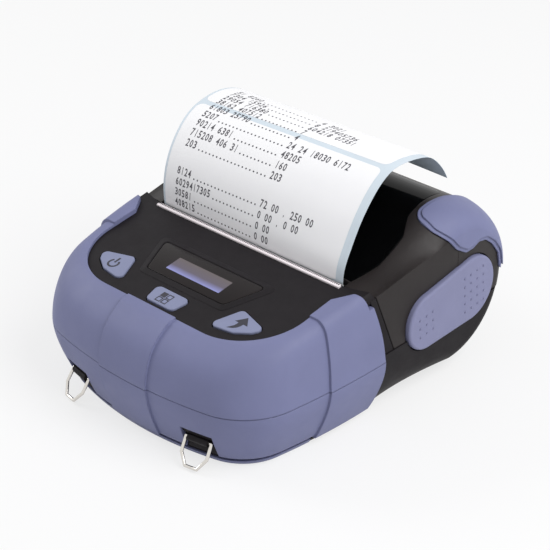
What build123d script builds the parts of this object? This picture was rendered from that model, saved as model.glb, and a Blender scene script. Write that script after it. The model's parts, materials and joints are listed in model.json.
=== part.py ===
from build123d import *
import math
import os

# Portable label printer. Front towards -Y, base on Z = 0, origin at the middle of the footprint.

# Paper and roll
PAPER_WIDTH = 80.0
PAPER_T = 0.15
ROLL_R = 24.8
CORE_R = 8.0
CORE_BORE_R = 6.35
ROLL_Y = 34.0
ROLL_Z = 30.6

# Outer body
SIDE_ROOM = 13.6
HALF_WIDTH = PAPER_WIDTH / 2 + SIDE_ROOM
FRONT_Y = -64.5
SEAM_Z = 22.4
LID_SEAM_Z = 24.4
BASE_LIFT = 0.6
BARREL_Y = 34.6
BARREL_R = 30.3
SKIN = 0.3
BARREL_Z = BASE_LIFT + BARREL_R - SKIN
FRONT_BOW = 7.3
SIDE_TAPER = 5.5
SIDE_STRAIGHT_Y = -3.4
WALL = 2.0
PART_GAP = 0.1
MOVE_GAP = 0.4

# Top panel plane, from the tear bar down to the front
TEAR_Y = -8.4
TEAR_Z = 47.5
PANEL_TILT = 8.7
PANEL_FRONT_Y = -52.4
RIM_ABOVE_PANEL = 0.9
PANEL_T = 2.8

# Rubber bumper
BUMPER_T = 1.6
BAND_PROUD = 0.7
FRONT_BAND_HALF = 10.6
SIDE_BAND_Y = -26.8
BUMPER_FLOOR_Z = 3.6
LIP_TOP_Z = 2.3
LIP_T = 1.2
RIM_HALF = HALF_WIDTH - 9.8
RIM_FRONT_Y = -50.8
RIM_RADIUS = 22.0
REAR_TOP_Y = -9.8
REAR_FOOT_Y = -3.8

# Display and keys, in plan
WINDOW_FRONT_Y = -37.0
WINDOW_REAR_Y = -23.2
WINDOW_FRONT_HALF = 17.1
WINDOW_REAR_HALF = 22.6
WINDOW_T = 1.0
LCD_HALF = 11.8
LCD_FRONT_Y = -33.6
LCD_REAR_Y = -27.2
KEY_PROUD = 0.55
KEY_TRAVEL = 0.8
KEY_GAP = 0.35
KEY_FLANGE = 0.9
KEY_BOARD_DROP = 7.6

# Printing mechanism
PLATEN_Y = -1.9
PLATEN_Z = 40.1
PLATEN_R = 4.8
SHAFT_R = 2.0
BUSH_R = 3.4
RUN_GAP = 0.05
WEB_GAP = 0.18
FRAME_T = 1.2
FRAME_X = PAPER_WIDTH / 2 + 2.6
ARM_X = PAPER_WIDTH / 2 + 0.4
ARM_T = 1.4
GEAR_MODULE = 0.5
GEAR_T = 2.6
GEAR_X = -FRAME_X - 6.0
HEAD_HALF = PAPER_WIDTH / 2 + 1.0
PLATEN_TEETH = 16
IDLER_TEETH = 28
PINION_TEETH = 12
MOTOR_R = 7.0
MOTOR_LENGTH = 13.0
HEAD_T = 2.2
HEAD_TOP_Z = 43.9
HEAD_PIVOT_Z = 29.5
HEAD_SWING = 2.5

# Lid, its hinge and its release pads
HINGE_Y = 62.6
HINGE_Z = 25.4
HINGE_R = 2.2
HINGE_PIN_R = 1.1
LID_EDGE_Y = -4.4
LID_EDGE_X = HALF_WIDTH - 1.5
LID_EDGE_Z = 45.9
LID_LEAN = 0.343
LID_SKEW = 0.275
SLOT_HALF = PAPER_WIDTH / 2 + 1.3
SLOT_REAR_Y = -5.6
PAD_FRONT = (19.2, 28.0, 10.0)
PAD_REAR = (41.7, 30.4, 11.8)
PAD_PROUD = 1.1
PAD_EDGE = 0.9
PAD_TRAVEL = 1.8
PAD_GAP = 0.45
PAD_INNER_X = HALF_WIDTH - 1.6
PAD_FLANGE_X = HALF_WIDTH - 4.7

# Battery and boards
BATTERY_HALF = 28.0
BATTERY_FRONT_Y = -50.0
BATTERY_REAR_Y = -20.0
BATTERY_HEIGHT = 16.0
DOOR_SLIDE = 6.0
BOARD_Z = 23.5
BOARD_T = 1.6

# Strap rings
RING_X = 27.2
RING_YAW = 10.5
RING_WIRE_R = 0.55
RING_PIVOT_Y = -58.5
RING_PIVOT_Z = 9.0
RING_HALF = 4.7
RING_LENGTH = 9.0
RING_LEAN = 32.0

# Outer forms
# Outer forms. Each row is a share of the height, then how far the outline lies inside the
# half width and the front, its corner radius, and the share of the panel's tilt.
LOWER_ROWS = [(0.0, 7.6, 6.6, 17.0, 0.0), (0.2, 5.2, 4.5, 19.0, 0.0), (0.45, 2.9, 2.5, 20.5, 0.0),
              (0.75, 0.8, 0.7, 21.6, 0.0), (1.0, 0.0, 0.0, 22.0, 0.0)]
UPPER_ROWS = [(0.0, 0.0, 0.0, 22.0, 0.0), (0.32, 0.4, 0.6, 22.0, 0.2),
              (0.6, 1.1, 2.3, 21.5, 0.5), (0.8, 1.9, 4.9, 20.5, 0.78),
              (0.93, 3.3, 8.2, 19.0, 1.0), (1.0, 5.6, 10.8, 18.0, 1.0)]
REAR_ROUND_X = 18.0
REAR_ROUND_R = 9.0
SHOULDER_X = 15.6
RIDGE_R = 22.4
RIDGE_IN = 0.5
MID_Y = -5.0
MID_KNEE_Z = 22.4
MID_FOOT_IN = 7.6

# Lid's form, its dark window and its rubber corners
# Each row is a plan position along the lid, the share of its rise at the middle, where the
# shoulder starts, where the ridge lies inside the half width and how sharp the ridge is.
LID_ROWS = [(-16.0, -0.11, 16.0, 2.6, 1.0), (-5.0, 0.0, 15.8, 1.9, 1.0), (4.0, 0.13, 15.6, 1.6, 1.0),
            (14.0, 0.42, 15.6, 1.2, 0.9), (24.0, 0.8, 15.6, 0.8, 0.5),
            (BARREL_Y, 1.0, SHOULDER_X, RIDGE_IN, 0.0)]
LID_FRONT_TOP = 0.8
# Corners of the dark window on the right: distance inside the half width, plan position.
WINDOW_SIDE = [(12.2, -5.0), (10.3, 6.0), (10.9, 18.5), (14.4, 25.0), (16.2, 46.0)]
WINDOW_ROUND = 4.0
# Side view of the rubber corners as (plan position, height), with rounded corners.
CORNER_SIDE = [(25.4, 64.0), (25.4, 56.2), (29.2, 52.6), (33.2, 48.2), (38.0, 45.3), (42.0, 45.5),
               (44.8, 46.7), (48.6, 45.9), (52.6, 42.8), (56.4, 38.0), (58.2, 30.5), (72.0, 30.5),
               (72.0, 64.0)]
CORNER_ROUND = 3.0
CORNER_TIP_R = 4.0
CORNER_HALF = HALF_WIDTH - 13.0
CORNER_T = 1.1
CORNER_RIM_T = 0.55
CORNER_RIM = 1.3
CORNER_SINK = 0.3

# Sockets for the strap rings, and the flap on the left side
SOCKET_HALF = 5.9
SOCKET_TOP = 3.6
PORT_Y0 = -24.0
PORT_Y1 = -10.5
PORT_Z0 = 25.4
PORT_Z1 = 32.6
PORT_HINGE_X = -HALF_WIDTH + 0.9
PORT_INNER_X = -HALF_WIDTH + 8.6
FLAP_SWEEP = 0.7

# Keys, tear bar and the posts under the panel
KEYS = {
    "power": [(-36.3, -38.5), (-24.2, -35.0), (-19.5, -46.5), (-29.1, -45.1), (-33.9, -42.1)],
    "menu": [(-7.3, -41.2), (7.3, -41.2), (5.8, -48.4), (-5.8, -48.4)],
    "feed": [(36.3, -38.5), (24.2, -35.0), (19.5, -46.5), (29.1, -45.1), (33.9, -42.1)]}
KEY_ROUND = 1.85
BAR_HALF = PAPER_WIDTH / 2 + 0.75
BAR_FRONT_Y = TEAR_Y - 1.7
BAR_T = 0.7
TOOTH_PITCH = 1.5
TOOTH_DEPTH = 0.55
COVER_POSTS = [(-31.0, -22.5), (31.0, -22.5), (-16.0, -22.5), (16.0, -22.5)]
SWITCH_XY = [(-28.0, -41.5), (0.0, -45.0), (28.0, -41.5)]

# Battery door, feet and screws
DOOR_HALF = 29.0
DOOR_LIP = 1.8
DOOR_FRONT_Y = BATTERY_FRONT_Y - 1.6
DOOR_REAR_Y = BATTERY_REAR_Y + 1.6
DOOR_Z = 1.3
DOOR_TOP_Z = 2.1
DOOR_GAP = 0.15
TRAY_TOP_Z = 3.6
BATTERY_Z = DOOR_TOP_Z + 0.1
FEET = [(-38.0, -38.0), (38.0, -38.0), (-29.0, 29.0), (29.0, 29.0)]
FOOT_R = 4.0
SCREWS = [(-38.0, -28.0), (38.0, -28.0), (-34.0, 18.0), (34.0, 18.0)]
SCREW_HEAD_R = 2.4

# Mechanism frame, roll holders and their tracks
FRAME_FRONT_Y = -15.2
FRAME_REAR_Y = 4.0
FRAME_LOW_Z = 4.4
FRAME_TOP_Z = 42.8
BRACKET_X = HALF_WIDTH - 7.3
BRACKET_T = 1.2
HOLDER_X = PAPER_WIDTH / 2 + 0.35
HOLDER_T = 1.4
HOLDER_SLIDE = 3.0
TRACK_Z = 6.2
TRACK_X0 = HOLDER_X + 0.1
TRACK_X1 = HALF_WIDTH - 3.8
TRACK_STOP_X = HALF_WIDTH - 5.0
TRACK_Y0 = 26.4
TRACK_Y1 = 41.6
GUIDES = ((17.4, 24.5), (47.4, 27.5))
RAIL_HALF = 21.7
HUB_LENGTH = 3.6
FOOT_X1 = HOLDER_X + 4.05
SPRING_WIRE = 0.4

# Hinge knuckles
LID_KNUCKLE = (22.0, 28.0)
OUTER_KNUCKLE = (28.3, 44.0)
EDGE_GAP_R = HINGE_R + 0.45

# Print head, paper web and the strip that stands out of the slot
HEAD_FACE_Y = PLATEN_Y - PLATEN_R - 2 * WEB_GAP - PAPER_T
WEB_Y = PLATEN_Y - PLATEN_R - WEB_GAP - PAPER_T / 2
SINK_T = 1.5
HEAD_PIN_Y = HEAD_FACE_Y - HEAD_T - SINK_T / 2
PINION_ANGLE = math.radians(-110.0)
CARRIER_TOP_Z = 45.3
WEB_LOW_Z = 33.6
WEB_TOP_Z = 46.9
STRIP_GAP = 0.35
STRIP_POINTS = [(-7.2, WEB_TOP_Z + STRIP_GAP), (-7.5, 50.0), (-6.9, 56.0), (-3.4, 63.3),
                (1.6, 69.6), (8.6, 75.0), (17.0, 78.8), (25.5, 79.4), (34.0, 75.6),
                (41.0, 69.4), (45.1, 63.2)]

TILT = math.radians(PANEL_TILT)
OUT = "parts"
FAR = 90.0


def block(x0, x1, y0, y1, z0, z1):
    """A box between two corners."""
    return Pos((x0 + x1) / 2, (y0 + y1) / 2, (z0 + z1) / 2) * Box(x1 - x0, y1 - y0, z1 - z0)


def rod_x(y, z, radius, x0, x1):
    """A cylinder along X."""
    return Pos((x0 + x1) / 2, y, z) * Rot(0, 90, 0) * Cylinder(radius, abs(x1 - x0))


def rod_y(x, z, radius, y0, y1):
    """A cylinder along Y."""
    return Pos(x, (y0 + y1) / 2, z) * Rot(90, 0, 0) * Cylinder(radius, abs(y1 - y0))


def rod_z(x, y, radius, z0, z1):
    """A cylinder along Z."""
    return Pos(x, y, (z0 + z1) / 2) * Cylinder(radius, z1 - z0)


def joined(shapes):
    """Several shapes made one."""
    total = shapes[0]
    for shape in shapes[1:]:
        total += shape
    return total


def both(shape):
    """A shape and its mirror image on the other side."""
    return shape + mirror(shape, about=Plane.YZ)


def side_slab(sketch, x0, x1):
    """A YZ sketch thickened from x0 to x1."""
    return extrude(Plane.YZ.offset(x0) * sketch, amount=x1 - x0)


def above(z):
    """All space above a height."""
    return block(-FAR, FAR, -FAR, FAR, z, 2 * FAR)


def below(z):
    """All space below a height."""
    return block(-FAR, FAR, -FAR, FAR, -FAR, z)


def panel_height(y):
    """Height of the top panel's plane over a plan position."""
    return TEAR_Z + math.tan(TILT) * (y - TEAR_Y)


PANEL = Plane(origin=(0, PANEL_FRONT_Y, panel_height(PANEL_FRONT_Y)), x_dir=(1, 0, 0),
              z_dir=(0, -math.sin(TILT), math.cos(TILT)))


def up_panel(y):
    """Distance up the panel's slope of a plan position."""
    return (y - PANEL_FRONT_Y) / math.cos(TILT)


def panel_polygon(points, radius=0.0):
    """A filleted polygon drawn in plan and laid on the panel's slope."""
    face = make_face(Polyline(*[(x, up_panel(y)) for x, y in points], close=True))
    return fillet(face.vertices(), radius) if radius else face


def panel_prism(sketch, low, high):
    """A panel sketch thickened between two heights above the panel's plane."""
    return extrude(PANEL.offset(low) * sketch, amount=high - low)


def grown(sketch, amount):
    """A sketch with its outline moved outwards."""
    return offset(sketch, amount=amount, kind=Kind.INTERSECTION)


def plan_outline(side_in, front_in, radius, y_back, tilt=0.0):
    """Plan outline of the body's front: bowed front and sides, round corners."""
    half = HALF_WIDTH - side_in
    narrow = half - SIDE_TAPER
    waist = half - 0.26 * SIDE_TAPER

    def along(y):
        return (y - PANEL_FRONT_Y) / math.cos(tilt)

    front = along(FRONT_Y + front_in)
    corner = along(FRONT_Y + front_in + FRONT_BOW)
    straight = along(SIDE_STRAIGHT_Y)
    back = along(y_back)
    middle = 0.5 * (corner + straight)
    edges = [ThreePointArc((-narrow, corner), (0, front), (narrow, corner)),
             ThreePointArc((narrow, corner), (waist, middle), (half, straight)),
             Line((half, straight), (half, back)), Line((half, back), (-half, back)),
             Line((-half, back), (-half, straight)),
             ThreePointArc((-half, straight), (-waist, middle), (-narrow, corner))]
    face = make_face(Curve() + edges)
    return fillet(face.vertices().sort_by(Axis.Y)[:2], radius)


def lofted(rows, inset, z0, z1, y_back):
    """Loft through plan outlines between two heights."""
    sections = []
    for share, side_in, front_in, radius, turn in rows:
        tilt = TILT * turn
        drop = inset * share ** 2 if z1 > SEAM_Z else 0.0
        plane = Plane(origin=(0, PANEL_FRONT_Y, z0 + share * (z1 - z0) - drop), x_dir=(1, 0, 0),
                      z_dir=(0, -math.sin(tilt), math.cos(tilt)))
        sections.append(plane * plan_outline(side_in + inset, front_in + inset, radius - inset,
                                             y_back, tilt))
    return loft(sections)


def lower_form(inset, y_back=2.0):
    """Outer form of the body's front below the bumper's seam."""
    return lofted(LOWER_ROWS, inset, 0.0, SEAM_Z, y_back)


def upper_form(inset, y_back=8.0):
    """Outer form of the body's front above the bumper's seam."""
    top = panel_height(PANEL_FRONT_Y) + RIM_ABOVE_PANEL
    return lofted(UPPER_ROWS, inset, SEAM_Z, top, y_back)


def round_start(round_x, inset):
    """Where the body's flat middle gives way to its rounded shoulder."""
    return HALF_WIDTH - inset - max(round_x - (inset - SKIN), 1.0)


def shoulder_curve(start, top, edge, low, crease=0.0):
    """The rounded shoulder down to a ridge, which is round at crease 0 and sharp at crease 1."""
    fall = 0.552 * (1 - 0.8 * crease)
    return Bezier((start, top), (start + 0.552 * (edge - start), top),
                  (edge - 0.35 * crease * (edge - start), low + fall * (top - low)), (edge, low))


def barrel_profile(inset, round_x, knee, side_in):
    """Half section of the round rear, measured out from the barrel's axis."""
    half = HALF_WIDTH - inset
    radius = BARREL_R - inset
    edge = half - side_in
    start = round_start(round_x, inset)
    knee_r = knee - (inset - SKIN) * 0.4
    right = [Line((0, radius), (start, radius)), shoulder_curve(start, radius, edge, knee_r),
             Line((edge, knee_r), (half, 0)), Line((half, 0), (0, 0)), Line((0, 0), (0, radius))]
    face = make_face(Curve() + right)
    return face + mirror(face, about=Plane.YZ)


def barrel(profile, downwards):
    """The round rear half, turned about the barrel's axis."""
    way = -1 if downwards else 1
    plane = Plane(origin=(0, BARREL_Y, BARREL_Z), x_dir=(1, 0, 0), z_dir=(0, -way, 0))
    return revolve(plane * profile, Axis((0, BARREL_Y, BARREL_Z), (-way, 0, 0)), 180)


def tub_section(inset, knee_z, foot_in, bulge):
    """Cross-section of the base behind the bumper: flat floor, rounded foot, upright sides."""
    half = HALF_WIDTH - inset
    floor = BARREL_Z - BARREL_R + inset
    foot = foot_in - (inset - SKIN) * 0.5
    top = BARREL_Z
    right = [Line((0, floor), (half - foot, floor)),
             Bezier((half - foot, floor), (half - foot + bulge[0] * foot, floor + bulge[1]),
                    (half, knee_z - 0.552 * (knee_z - floor)), (half, knee_z)),
             Line((half, knee_z), (half, top)), Line((half, top), (0, top)),
             Line((0, top), (0, floor))]
    face = make_face(Curve() + right)
    return face + mirror(face, about=Plane.YZ)


def base_form(inset):
    """The base's rear two thirds: a tub that runs into the round rear."""
    front = Plane(origin=(0, MID_Y, 0), x_dir=(1, 0, 0), z_dir=(0, -1, 0))
    rear = Plane(origin=(0, BARREL_Y, 0), x_dir=(1, 0, 0), z_dir=(0, -1, 0))
    knee = BARREL_Z - (BARREL_R - SKIN - REAR_ROUND_R - (inset - SKIN) * 0.4)
    tub = loft([front * tub_section(inset, MID_KNEE_Z, MID_FOOT_IN, (0.45, 5.5)),
                rear * tub_section(inset, knee, REAR_ROUND_X - (inset - SKIN) * 0.5,
                                   (0.552, 0.0))])
    profile = barrel_profile(inset, REAR_ROUND_X, BARREL_R - SKIN - REAR_ROUND_R, 0.001)
    return tub + barrel(profile, True)


def ridge_height(y):
    """Height of the lid's ridge at a plan position."""
    rear = BARREL_Z + RIDGE_R
    return rear - (BARREL_Y - y) * (rear - LID_EDGE_Z) / (BARREL_Y - LID_EDGE_Y)


def lid_section(rise, shoulder, ridge_in, crease, ridge_z, inset):
    """Cross-section of the lid: flat middle, falling shoulders, ridges and sides."""
    front_top = TEAR_Z + LID_FRONT_TOP
    top = front_top + rise * (BARREL_Z + BARREL_R - front_top) - inset
    half = HALF_WIDTH - inset
    start = round_start(shoulder, inset)
    ridge = half - ridge_in
    z = ridge_z - (inset - SKIN) * 0.4
    foot = SEAM_Z - 3.0
    right = [Line((0, top), (start, top)), shoulder_curve(start, top, ridge, z, crease),
             Line((ridge, z), (half, foot)), Line((half, foot), (0, foot)),
             Line((0, foot), (0, top))]
    face = make_face(Curve() + right)
    return face + mirror(face, about=Plane.YZ)


def lid_form(inset):
    """The lid's outer form: a rising loft that runs into the round rear."""
    sections = []
    for y, rise, shoulder, ridge_in, crease in LID_ROWS:
        plane = Plane(origin=(0, y, 0), x_dir=(1, 0, 0), z_dir=(0, -1, 0))
        sections.append(plane * lid_section(rise, shoulder, ridge_in, crease, ridge_height(y), inset))
    profile = barrel_profile(inset, SHOULDER_X, RIDGE_R, RIDGE_IN)
    return loft(sections) + barrel(profile, False)


def rear_cutter(shift=0.0):
    """All space behind the bumper's rear edge."""
    top = 52.0
    foot = -2.0
    edge = [Bezier((REAR_TOP_Y + shift, top), (REAR_TOP_Y + 6.4 + shift, 36),
                   (REAR_FOOT_Y + 4.6 + shift, 18), (REAR_FOOT_Y + shift, foot)),
            Line((REAR_FOOT_Y + shift, foot), (FAR, foot)), Line((FAR, foot), (FAR, top)),
            Line((FAR, top), (REAR_TOP_Y + shift, top))]
    return side_slab(make_face(Curve() + edge), -FAR, FAR)


def lid_edge_plane(side, shift):
    """Plane of the lid's slanted front edge on one side, normal pointing back."""
    normal = Vector(-side * LID_SKEW, 1, LID_LEAN).normalized()
    origin = Vector(side * LID_EDGE_X, LID_EDGE_Y, LID_EDGE_Z) + normal * shift
    return Plane(origin=origin, z_dir=normal)


def lid_region(shift):
    """All space behind the lid's front edge, moved back by a distance."""
    region = block(-SLOT_HALF - 1, SLOT_HALF + 1, SLOT_REAR_Y + shift, 2 * FAR, 0, 2 * FAR)
    for side in (-1, 1):
        half_space = extrude(lid_edge_plane(side, shift) * Rectangle(300, 300), amount=200)
        x0, x1 = sorted((side * (SLOT_HALF + shift - 0.01), side * FAR))
        region += half_space & block(x0, x1, -FAR, FAR, 0, FAR)
    return region


def rim_outline(amount):
    """Outline of the panel inside the bumper's rim, flaring out at the rear."""
    flare_y = -17.0
    side = RIM_HALF + amount
    front = RIM_FRONT_Y - amount
    back_y = 4.0
    points = [(-side, front), (side, front), (side, flare_y), (side + 4.0, flare_y + 6.0),
              (side + 12.0, flare_y + 9.0), (side + 12.0, back_y), (-side - 12.0, back_y),
              (-side - 12.0, flare_y + 9.0), (-side - 4.0, flare_y + 6.0), (-side, flare_y)]
    face = make_face(Polyline(*[(x, up_panel(y)) for x, y in points], close=True))
    corners = face.vertices().sort_by(Axis.Y)[:2]
    return fillet(corners, RIM_RADIUS + amount)


def bands(front_half, margin):
    """The three bands where the bumper stands proud, as plain space."""
    front = block(-front_half, front_half, -FAR, -30, 0, FAR)
    sides = block(-FAR, -RIM_HALF + margin, SIDE_BAND_Y, FAR, 0, FAR)
    sides += block(RIM_HALF - margin, FAR, SIDE_BAND_Y, FAR, 0, FAR)
    return front + sides


def ring_frame(side):
    """Frame of one strap ring: X along its hinge line, Y inwards."""
    return Pos(side * RING_X, RING_PIVOT_Y, RING_PIVOT_Z) * Rot(0, 0, side * RING_YAW)


def sockets(amount):
    """The two sockets in the bumper's foot."""
    hole = Box(2 * (SOCKET_HALF + amount), 12, 30, align=(Align.CENTER, Align.CENTER, Align.MAX))
    cut = Pos(0, -1, SOCKET_TOP + amount) * hole
    return ring_frame(-1) * cut + ring_frame(1) * cut


def port_block(amount):
    """Space of the flap over the sockets on the left side."""
    return block(-FAR, PORT_INNER_X, PORT_Y0 - amount, PORT_Y1 + amount, PORT_Z0 - amount, PORT_Z1 + amount)


def make_base_bumper():
    outer = lower_form(0.0) + (lower_form(-BAND_PROUD) & bands(FRONT_BAND_HALF, 0.0))
    shell = outer - lower_form(BUMPER_T)
    shell &= block(-FAR, FAR, -FAR, SIDE_BAND_Y, BUMPER_FLOOR_Z, SEAM_Z - PART_GAP) + block(
        -FAR, FAR, SIDE_BAND_Y - 0.01, FAR, LIP_TOP_Z + PART_GAP, SEAM_Z - PART_GAP)
    return (shell - rear_cutter() - sockets(0.0)) + front_lip(0.0)


def front_lip(gap):
    """The rubber lip along the front's foot, with a gap about it."""
    lip = lower_form(-gap) - lower_form(LIP_T + gap)
    return lip & block(-FAR, FAR, -FAR, SIDE_BAND_Y - 1.0 + gap, BASE_LIFT - gap, LIP_TOP_Z + gap)


def make_front_bumper():
    outer = upper_form(0.0) + (upper_form(-BAND_PROUD) & bands(FRONT_BAND_HALF, 0.0))
    shell = outer - upper_form(BUMPER_T)
    shell &= above(SEAM_Z + PART_GAP)
    shell -= panel_prism(rim_outline(0.0), -4.0, 8.0)
    shell -= rear_cutter()
    shell -= port_block(0.2)
    shell -= block(-FAR, PORT_HINGE_X + 1.1, PORT_Y0 - 0.2, PORT_Y1 + 0.2, PORT_Z0 - FLAP_SWEEP, PORT_Z0)
    for y0, y1 in ((PORT_Y0 - 1.3, PORT_Y0), (PORT_Y1, PORT_Y1 + 1.3)):
        shell -= rod_y(PORT_HINGE_X, PORT_Z0 + 1.0, 0.6 + RUN_GAP, y0, y1)
    return shell


def make_port_cover():
    skin = upper_form(-BAND_PROUD) - upper_form(BUMPER_T - 0.2)
    flap = skin & port_block(-0.15)
    flap -= block(-FAR, 0, -FAR, FAR, PORT_Z0 - 1, PORT_Z0 + 1.0) & block(
        -FAR, PORT_HINGE_X - 1.0, -60, 60, 0, 60)
    y0, y1 = PORT_Y0 - 1.1, PORT_Y1 + 1.1
    pin = rod_y(PORT_HINGE_X, PORT_Z0 + 1.0, 0.6, y0, y1)
    return flap + pin


def pad_sketch(amount):
    """Outline of a release pad seen from the side."""
    circles = [Pos(y, z) * Circle(r + amount) for y, z, r in (PAD_FRONT, PAD_REAR)]
    return make_hull(circles[0].edges() + circles[1].edges())


def pad_notch(amount):
    """The pad's outline run on downwards, so the lid can lift off it."""
    sketch = pad_sketch(amount)
    y0 = PAD_FRONT[0] - PAD_FRONT[2] - amount
    y1 = PAD_REAR[0] + PAD_REAR[2] + amount
    low = Polyline((y0, 0), (y1, 0), (y1, PAD_REAR[1]), (y0, PAD_FRONT[1]), close=True)
    return sketch + make_face(low)


def key_sketch(name):
    """Outline of one key."""
    return panel_polygon(KEYS[name], KEY_ROUND)


def make_key(name):
    face = key_sketch(name)
    cap = panel_prism(face, -PANEL_T - 0.2, KEY_PROUD)
    cap = fillet(cap.faces().sort_by(Axis.Z)[-1].edges(), 0.4)
    flange = panel_prism(grown(face, KEY_GAP + 0.6), -PANEL_T - 0.1 - KEY_FLANGE, -PANEL_T - 0.1)
    return cap + flange


def window_points():
    """Corners of the display's window."""
    return [(-WINDOW_FRONT_HALF, WINDOW_FRONT_Y), (WINDOW_FRONT_HALF, WINDOW_FRONT_Y),
            (WINDOW_REAR_HALF, WINDOW_REAR_Y), (-WINDOW_REAR_HALF, WINDOW_REAR_Y)]


def lcd_sketch(amount):
    """Rectangle of the display glass."""
    return panel_polygon([(-LCD_HALF - amount, LCD_FRONT_Y - amount),
                          (LCD_HALF + amount, LCD_FRONT_Y - amount),
                          (LCD_HALF + amount, LCD_REAR_Y + amount),
                          (-LCD_HALF - amount, LCD_REAR_Y + amount)])


def make_tear_bar():
    teeth = int(2 * BAR_HALF / TOOTH_PITCH)
    start = -teeth * TOOTH_PITCH / 2
    root = up_panel(TEAR_Y - 0.4)
    line = [(-BAR_HALF, up_panel(BAR_FRONT_Y)), (-BAR_HALF, root), (start, root)]
    for i in range(teeth):
        line.append((start + (i + 0.5) * TOOTH_PITCH, root + TOOTH_DEPTH))
        line.append((start + (i + 1) * TOOTH_PITCH, root))
    line += [(BAR_HALF, root), (BAR_HALF, up_panel(BAR_FRONT_Y))]
    return panel_prism(make_face(Polyline(*line, close=True)), 0.0, BAR_T)


def make_front_cover():
    step_y = SIDE_STRAIGHT_Y
    outer = upper_form(BUMPER_T + PART_GAP, 4.0) & above(SEAM_Z + 0.05)
    outer += panel_prism(rim_outline(-0.12), -PANEL_T, 0.0) & upper_form(0.0, 4.0)
    side = lid_form(SKIN) & rear_cutter(PART_GAP) & block(-FAR, FAR, -FAR, 20, 0, FAR)
    outer += side
    inner = upper_form(BUMPER_T + PART_GAP + WALL, 4.0) - panel_prism(rim_outline(3.0), -PANEL_T, 9.0)
    hollow = lid_form(SKIN + WALL) & block(-FAR, FAR, -24, 30, 0, FAR)
    hollow -= panel_prism(rim_outline(14.0), -PANEL_T, 9.0)
    cover = outer - inner - hollow
    cover -= lid_region(-MOVE_GAP)
    cover -= block(-SLOT_HALF, SLOT_HALF, TEAR_Y, FAR, 0, FAR)
    cover -= below(SEAM_Z + 0.05) + block(-FAR, FAR, step_y, FAR, 0, LID_SEAM_Z)
    cover -= panel_prism(grown(panel_polygon(window_points(), 2.0), 0.1), -WINDOW_T, 9.0)
    cover -= panel_prism(lcd_sketch(2.3), -9.0, 2.0)
    for name in KEYS:
        cover -= panel_prism(grown(key_sketch(name), KEY_GAP), -9.0, 9.0)
        cover -= panel_prism(grown(key_sketch(name), KEY_GAP + 1.1), -9.0, -PANEL_T)
    cover -= port_block(0.6) & block(-FAR, PORT_INNER_X, -FAR, FAR, 0, FAR)
    for x, y in COVER_POSTS:
        post = extrude(PANEL.offset(-KEY_BOARD_DROP) * Pos(x, up_panel(y)) * Circle(1.8),
                       amount=KEY_BOARD_DROP - PANEL_T)
        cover += post
    return cover


def make_display_window():
    return panel_prism(panel_polygon(window_points(), 2.0), -WINDOW_T, 0.0)


def make_display_module():
    glass = panel_prism(lcd_sketch(1.6), -4.4, -WINDOW_T - 0.1)
    legs = panel_prism(lcd_sketch(0.4), -KEY_BOARD_DROP, -4.4)
    return glass + legs


def make_key_board():
    points = [(-34, -22), (34, -22), (34, -40), (26, -48.5), (-26, -48.5), (-34, -40)]
    board = panel_prism(panel_polygon(points[::-1], 1.0), -KEY_BOARD_DROP - BOARD_T,
                        -KEY_BOARD_DROP)
    return board


def make_tact_switches():
    top = -PANEL_T - 0.1 - KEY_FLANGE - KEY_TRAVEL - 0.05
    parts = []
    for x, y in SWITCH_XY:
        base = PANEL.offset(-KEY_BOARD_DROP) * Pos(x, up_panel(y))
        body = base * Pos(0, 0, 0.9) * Box(6, 6, 1.8)
        height = top + KEY_BOARD_DROP
        parts.append(body + base * Pos(0, 0, height / 2) * Cylinder(1.7, height))
    return joined(parts)



def make_battery_door():
    low = block(-DOOR_HALF, DOOR_HALF, DOOR_FRONT_Y, DOOR_REAR_Y, BASE_LIFT, DOOR_TOP_Z)
    wide = DOOR_HALF + DOOR_LIP
    high = block(-wide, wide, DOOR_FRONT_Y, DOOR_REAR_Y, DOOR_Z, DOOR_TOP_Z)
    door = low + high
    for i in range(5):
        y = DOOR_FRONT_Y + 4 + 1.8 * i
        door -= block(-8, 8, y, y + 0.8, BASE_LIFT - 0.1, BASE_LIFT + 0.4)
    return door


def door_pocket():
    """Space of the battery door with its slide, and the battery's way out above it."""
    gap = DOOR_GAP
    y0 = DOOR_FRONT_Y - gap
    y1 = DOOR_REAR_Y + DOOR_SLIDE + gap
    wide = DOOR_HALF + DOOR_LIP + gap
    pocket = block(-DOOR_HALF - gap, DOOR_HALF + gap, y0, y1, -1, DOOR_TOP_Z + gap)
    pocket += block(-wide, wide, y0, y1, DOOR_Z - gap, DOOR_TOP_Z + gap)
    way = BATTERY_HALF + 0.3
    return pocket + block(-way, way, BATTERY_FRONT_Y - 0.3, BATTERY_REAR_Y + 0.3, 0, 6)


def make_battery_pack():
    pack = block(-BATTERY_HALF, BATTERY_HALF, BATTERY_FRONT_Y, BATTERY_REAR_Y,
                 BATTERY_Z, BATTERY_Z + BATTERY_HEIGHT)
    return fillet(pack.edges().filter_by(Axis.X), 2.0)


def make_battery_contacts():
    y = BATTERY_REAR_Y
    holder = block(-10, 10, y + 0.1, y + 2.6, TRAY_TOP_Z, 14)
    for i in range(4):
        x = -6 + 4 * i
        holder -= block(x - 0.8, x + 0.8, y - 1, y + 0.9, 6, 12)
    return holder


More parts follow.
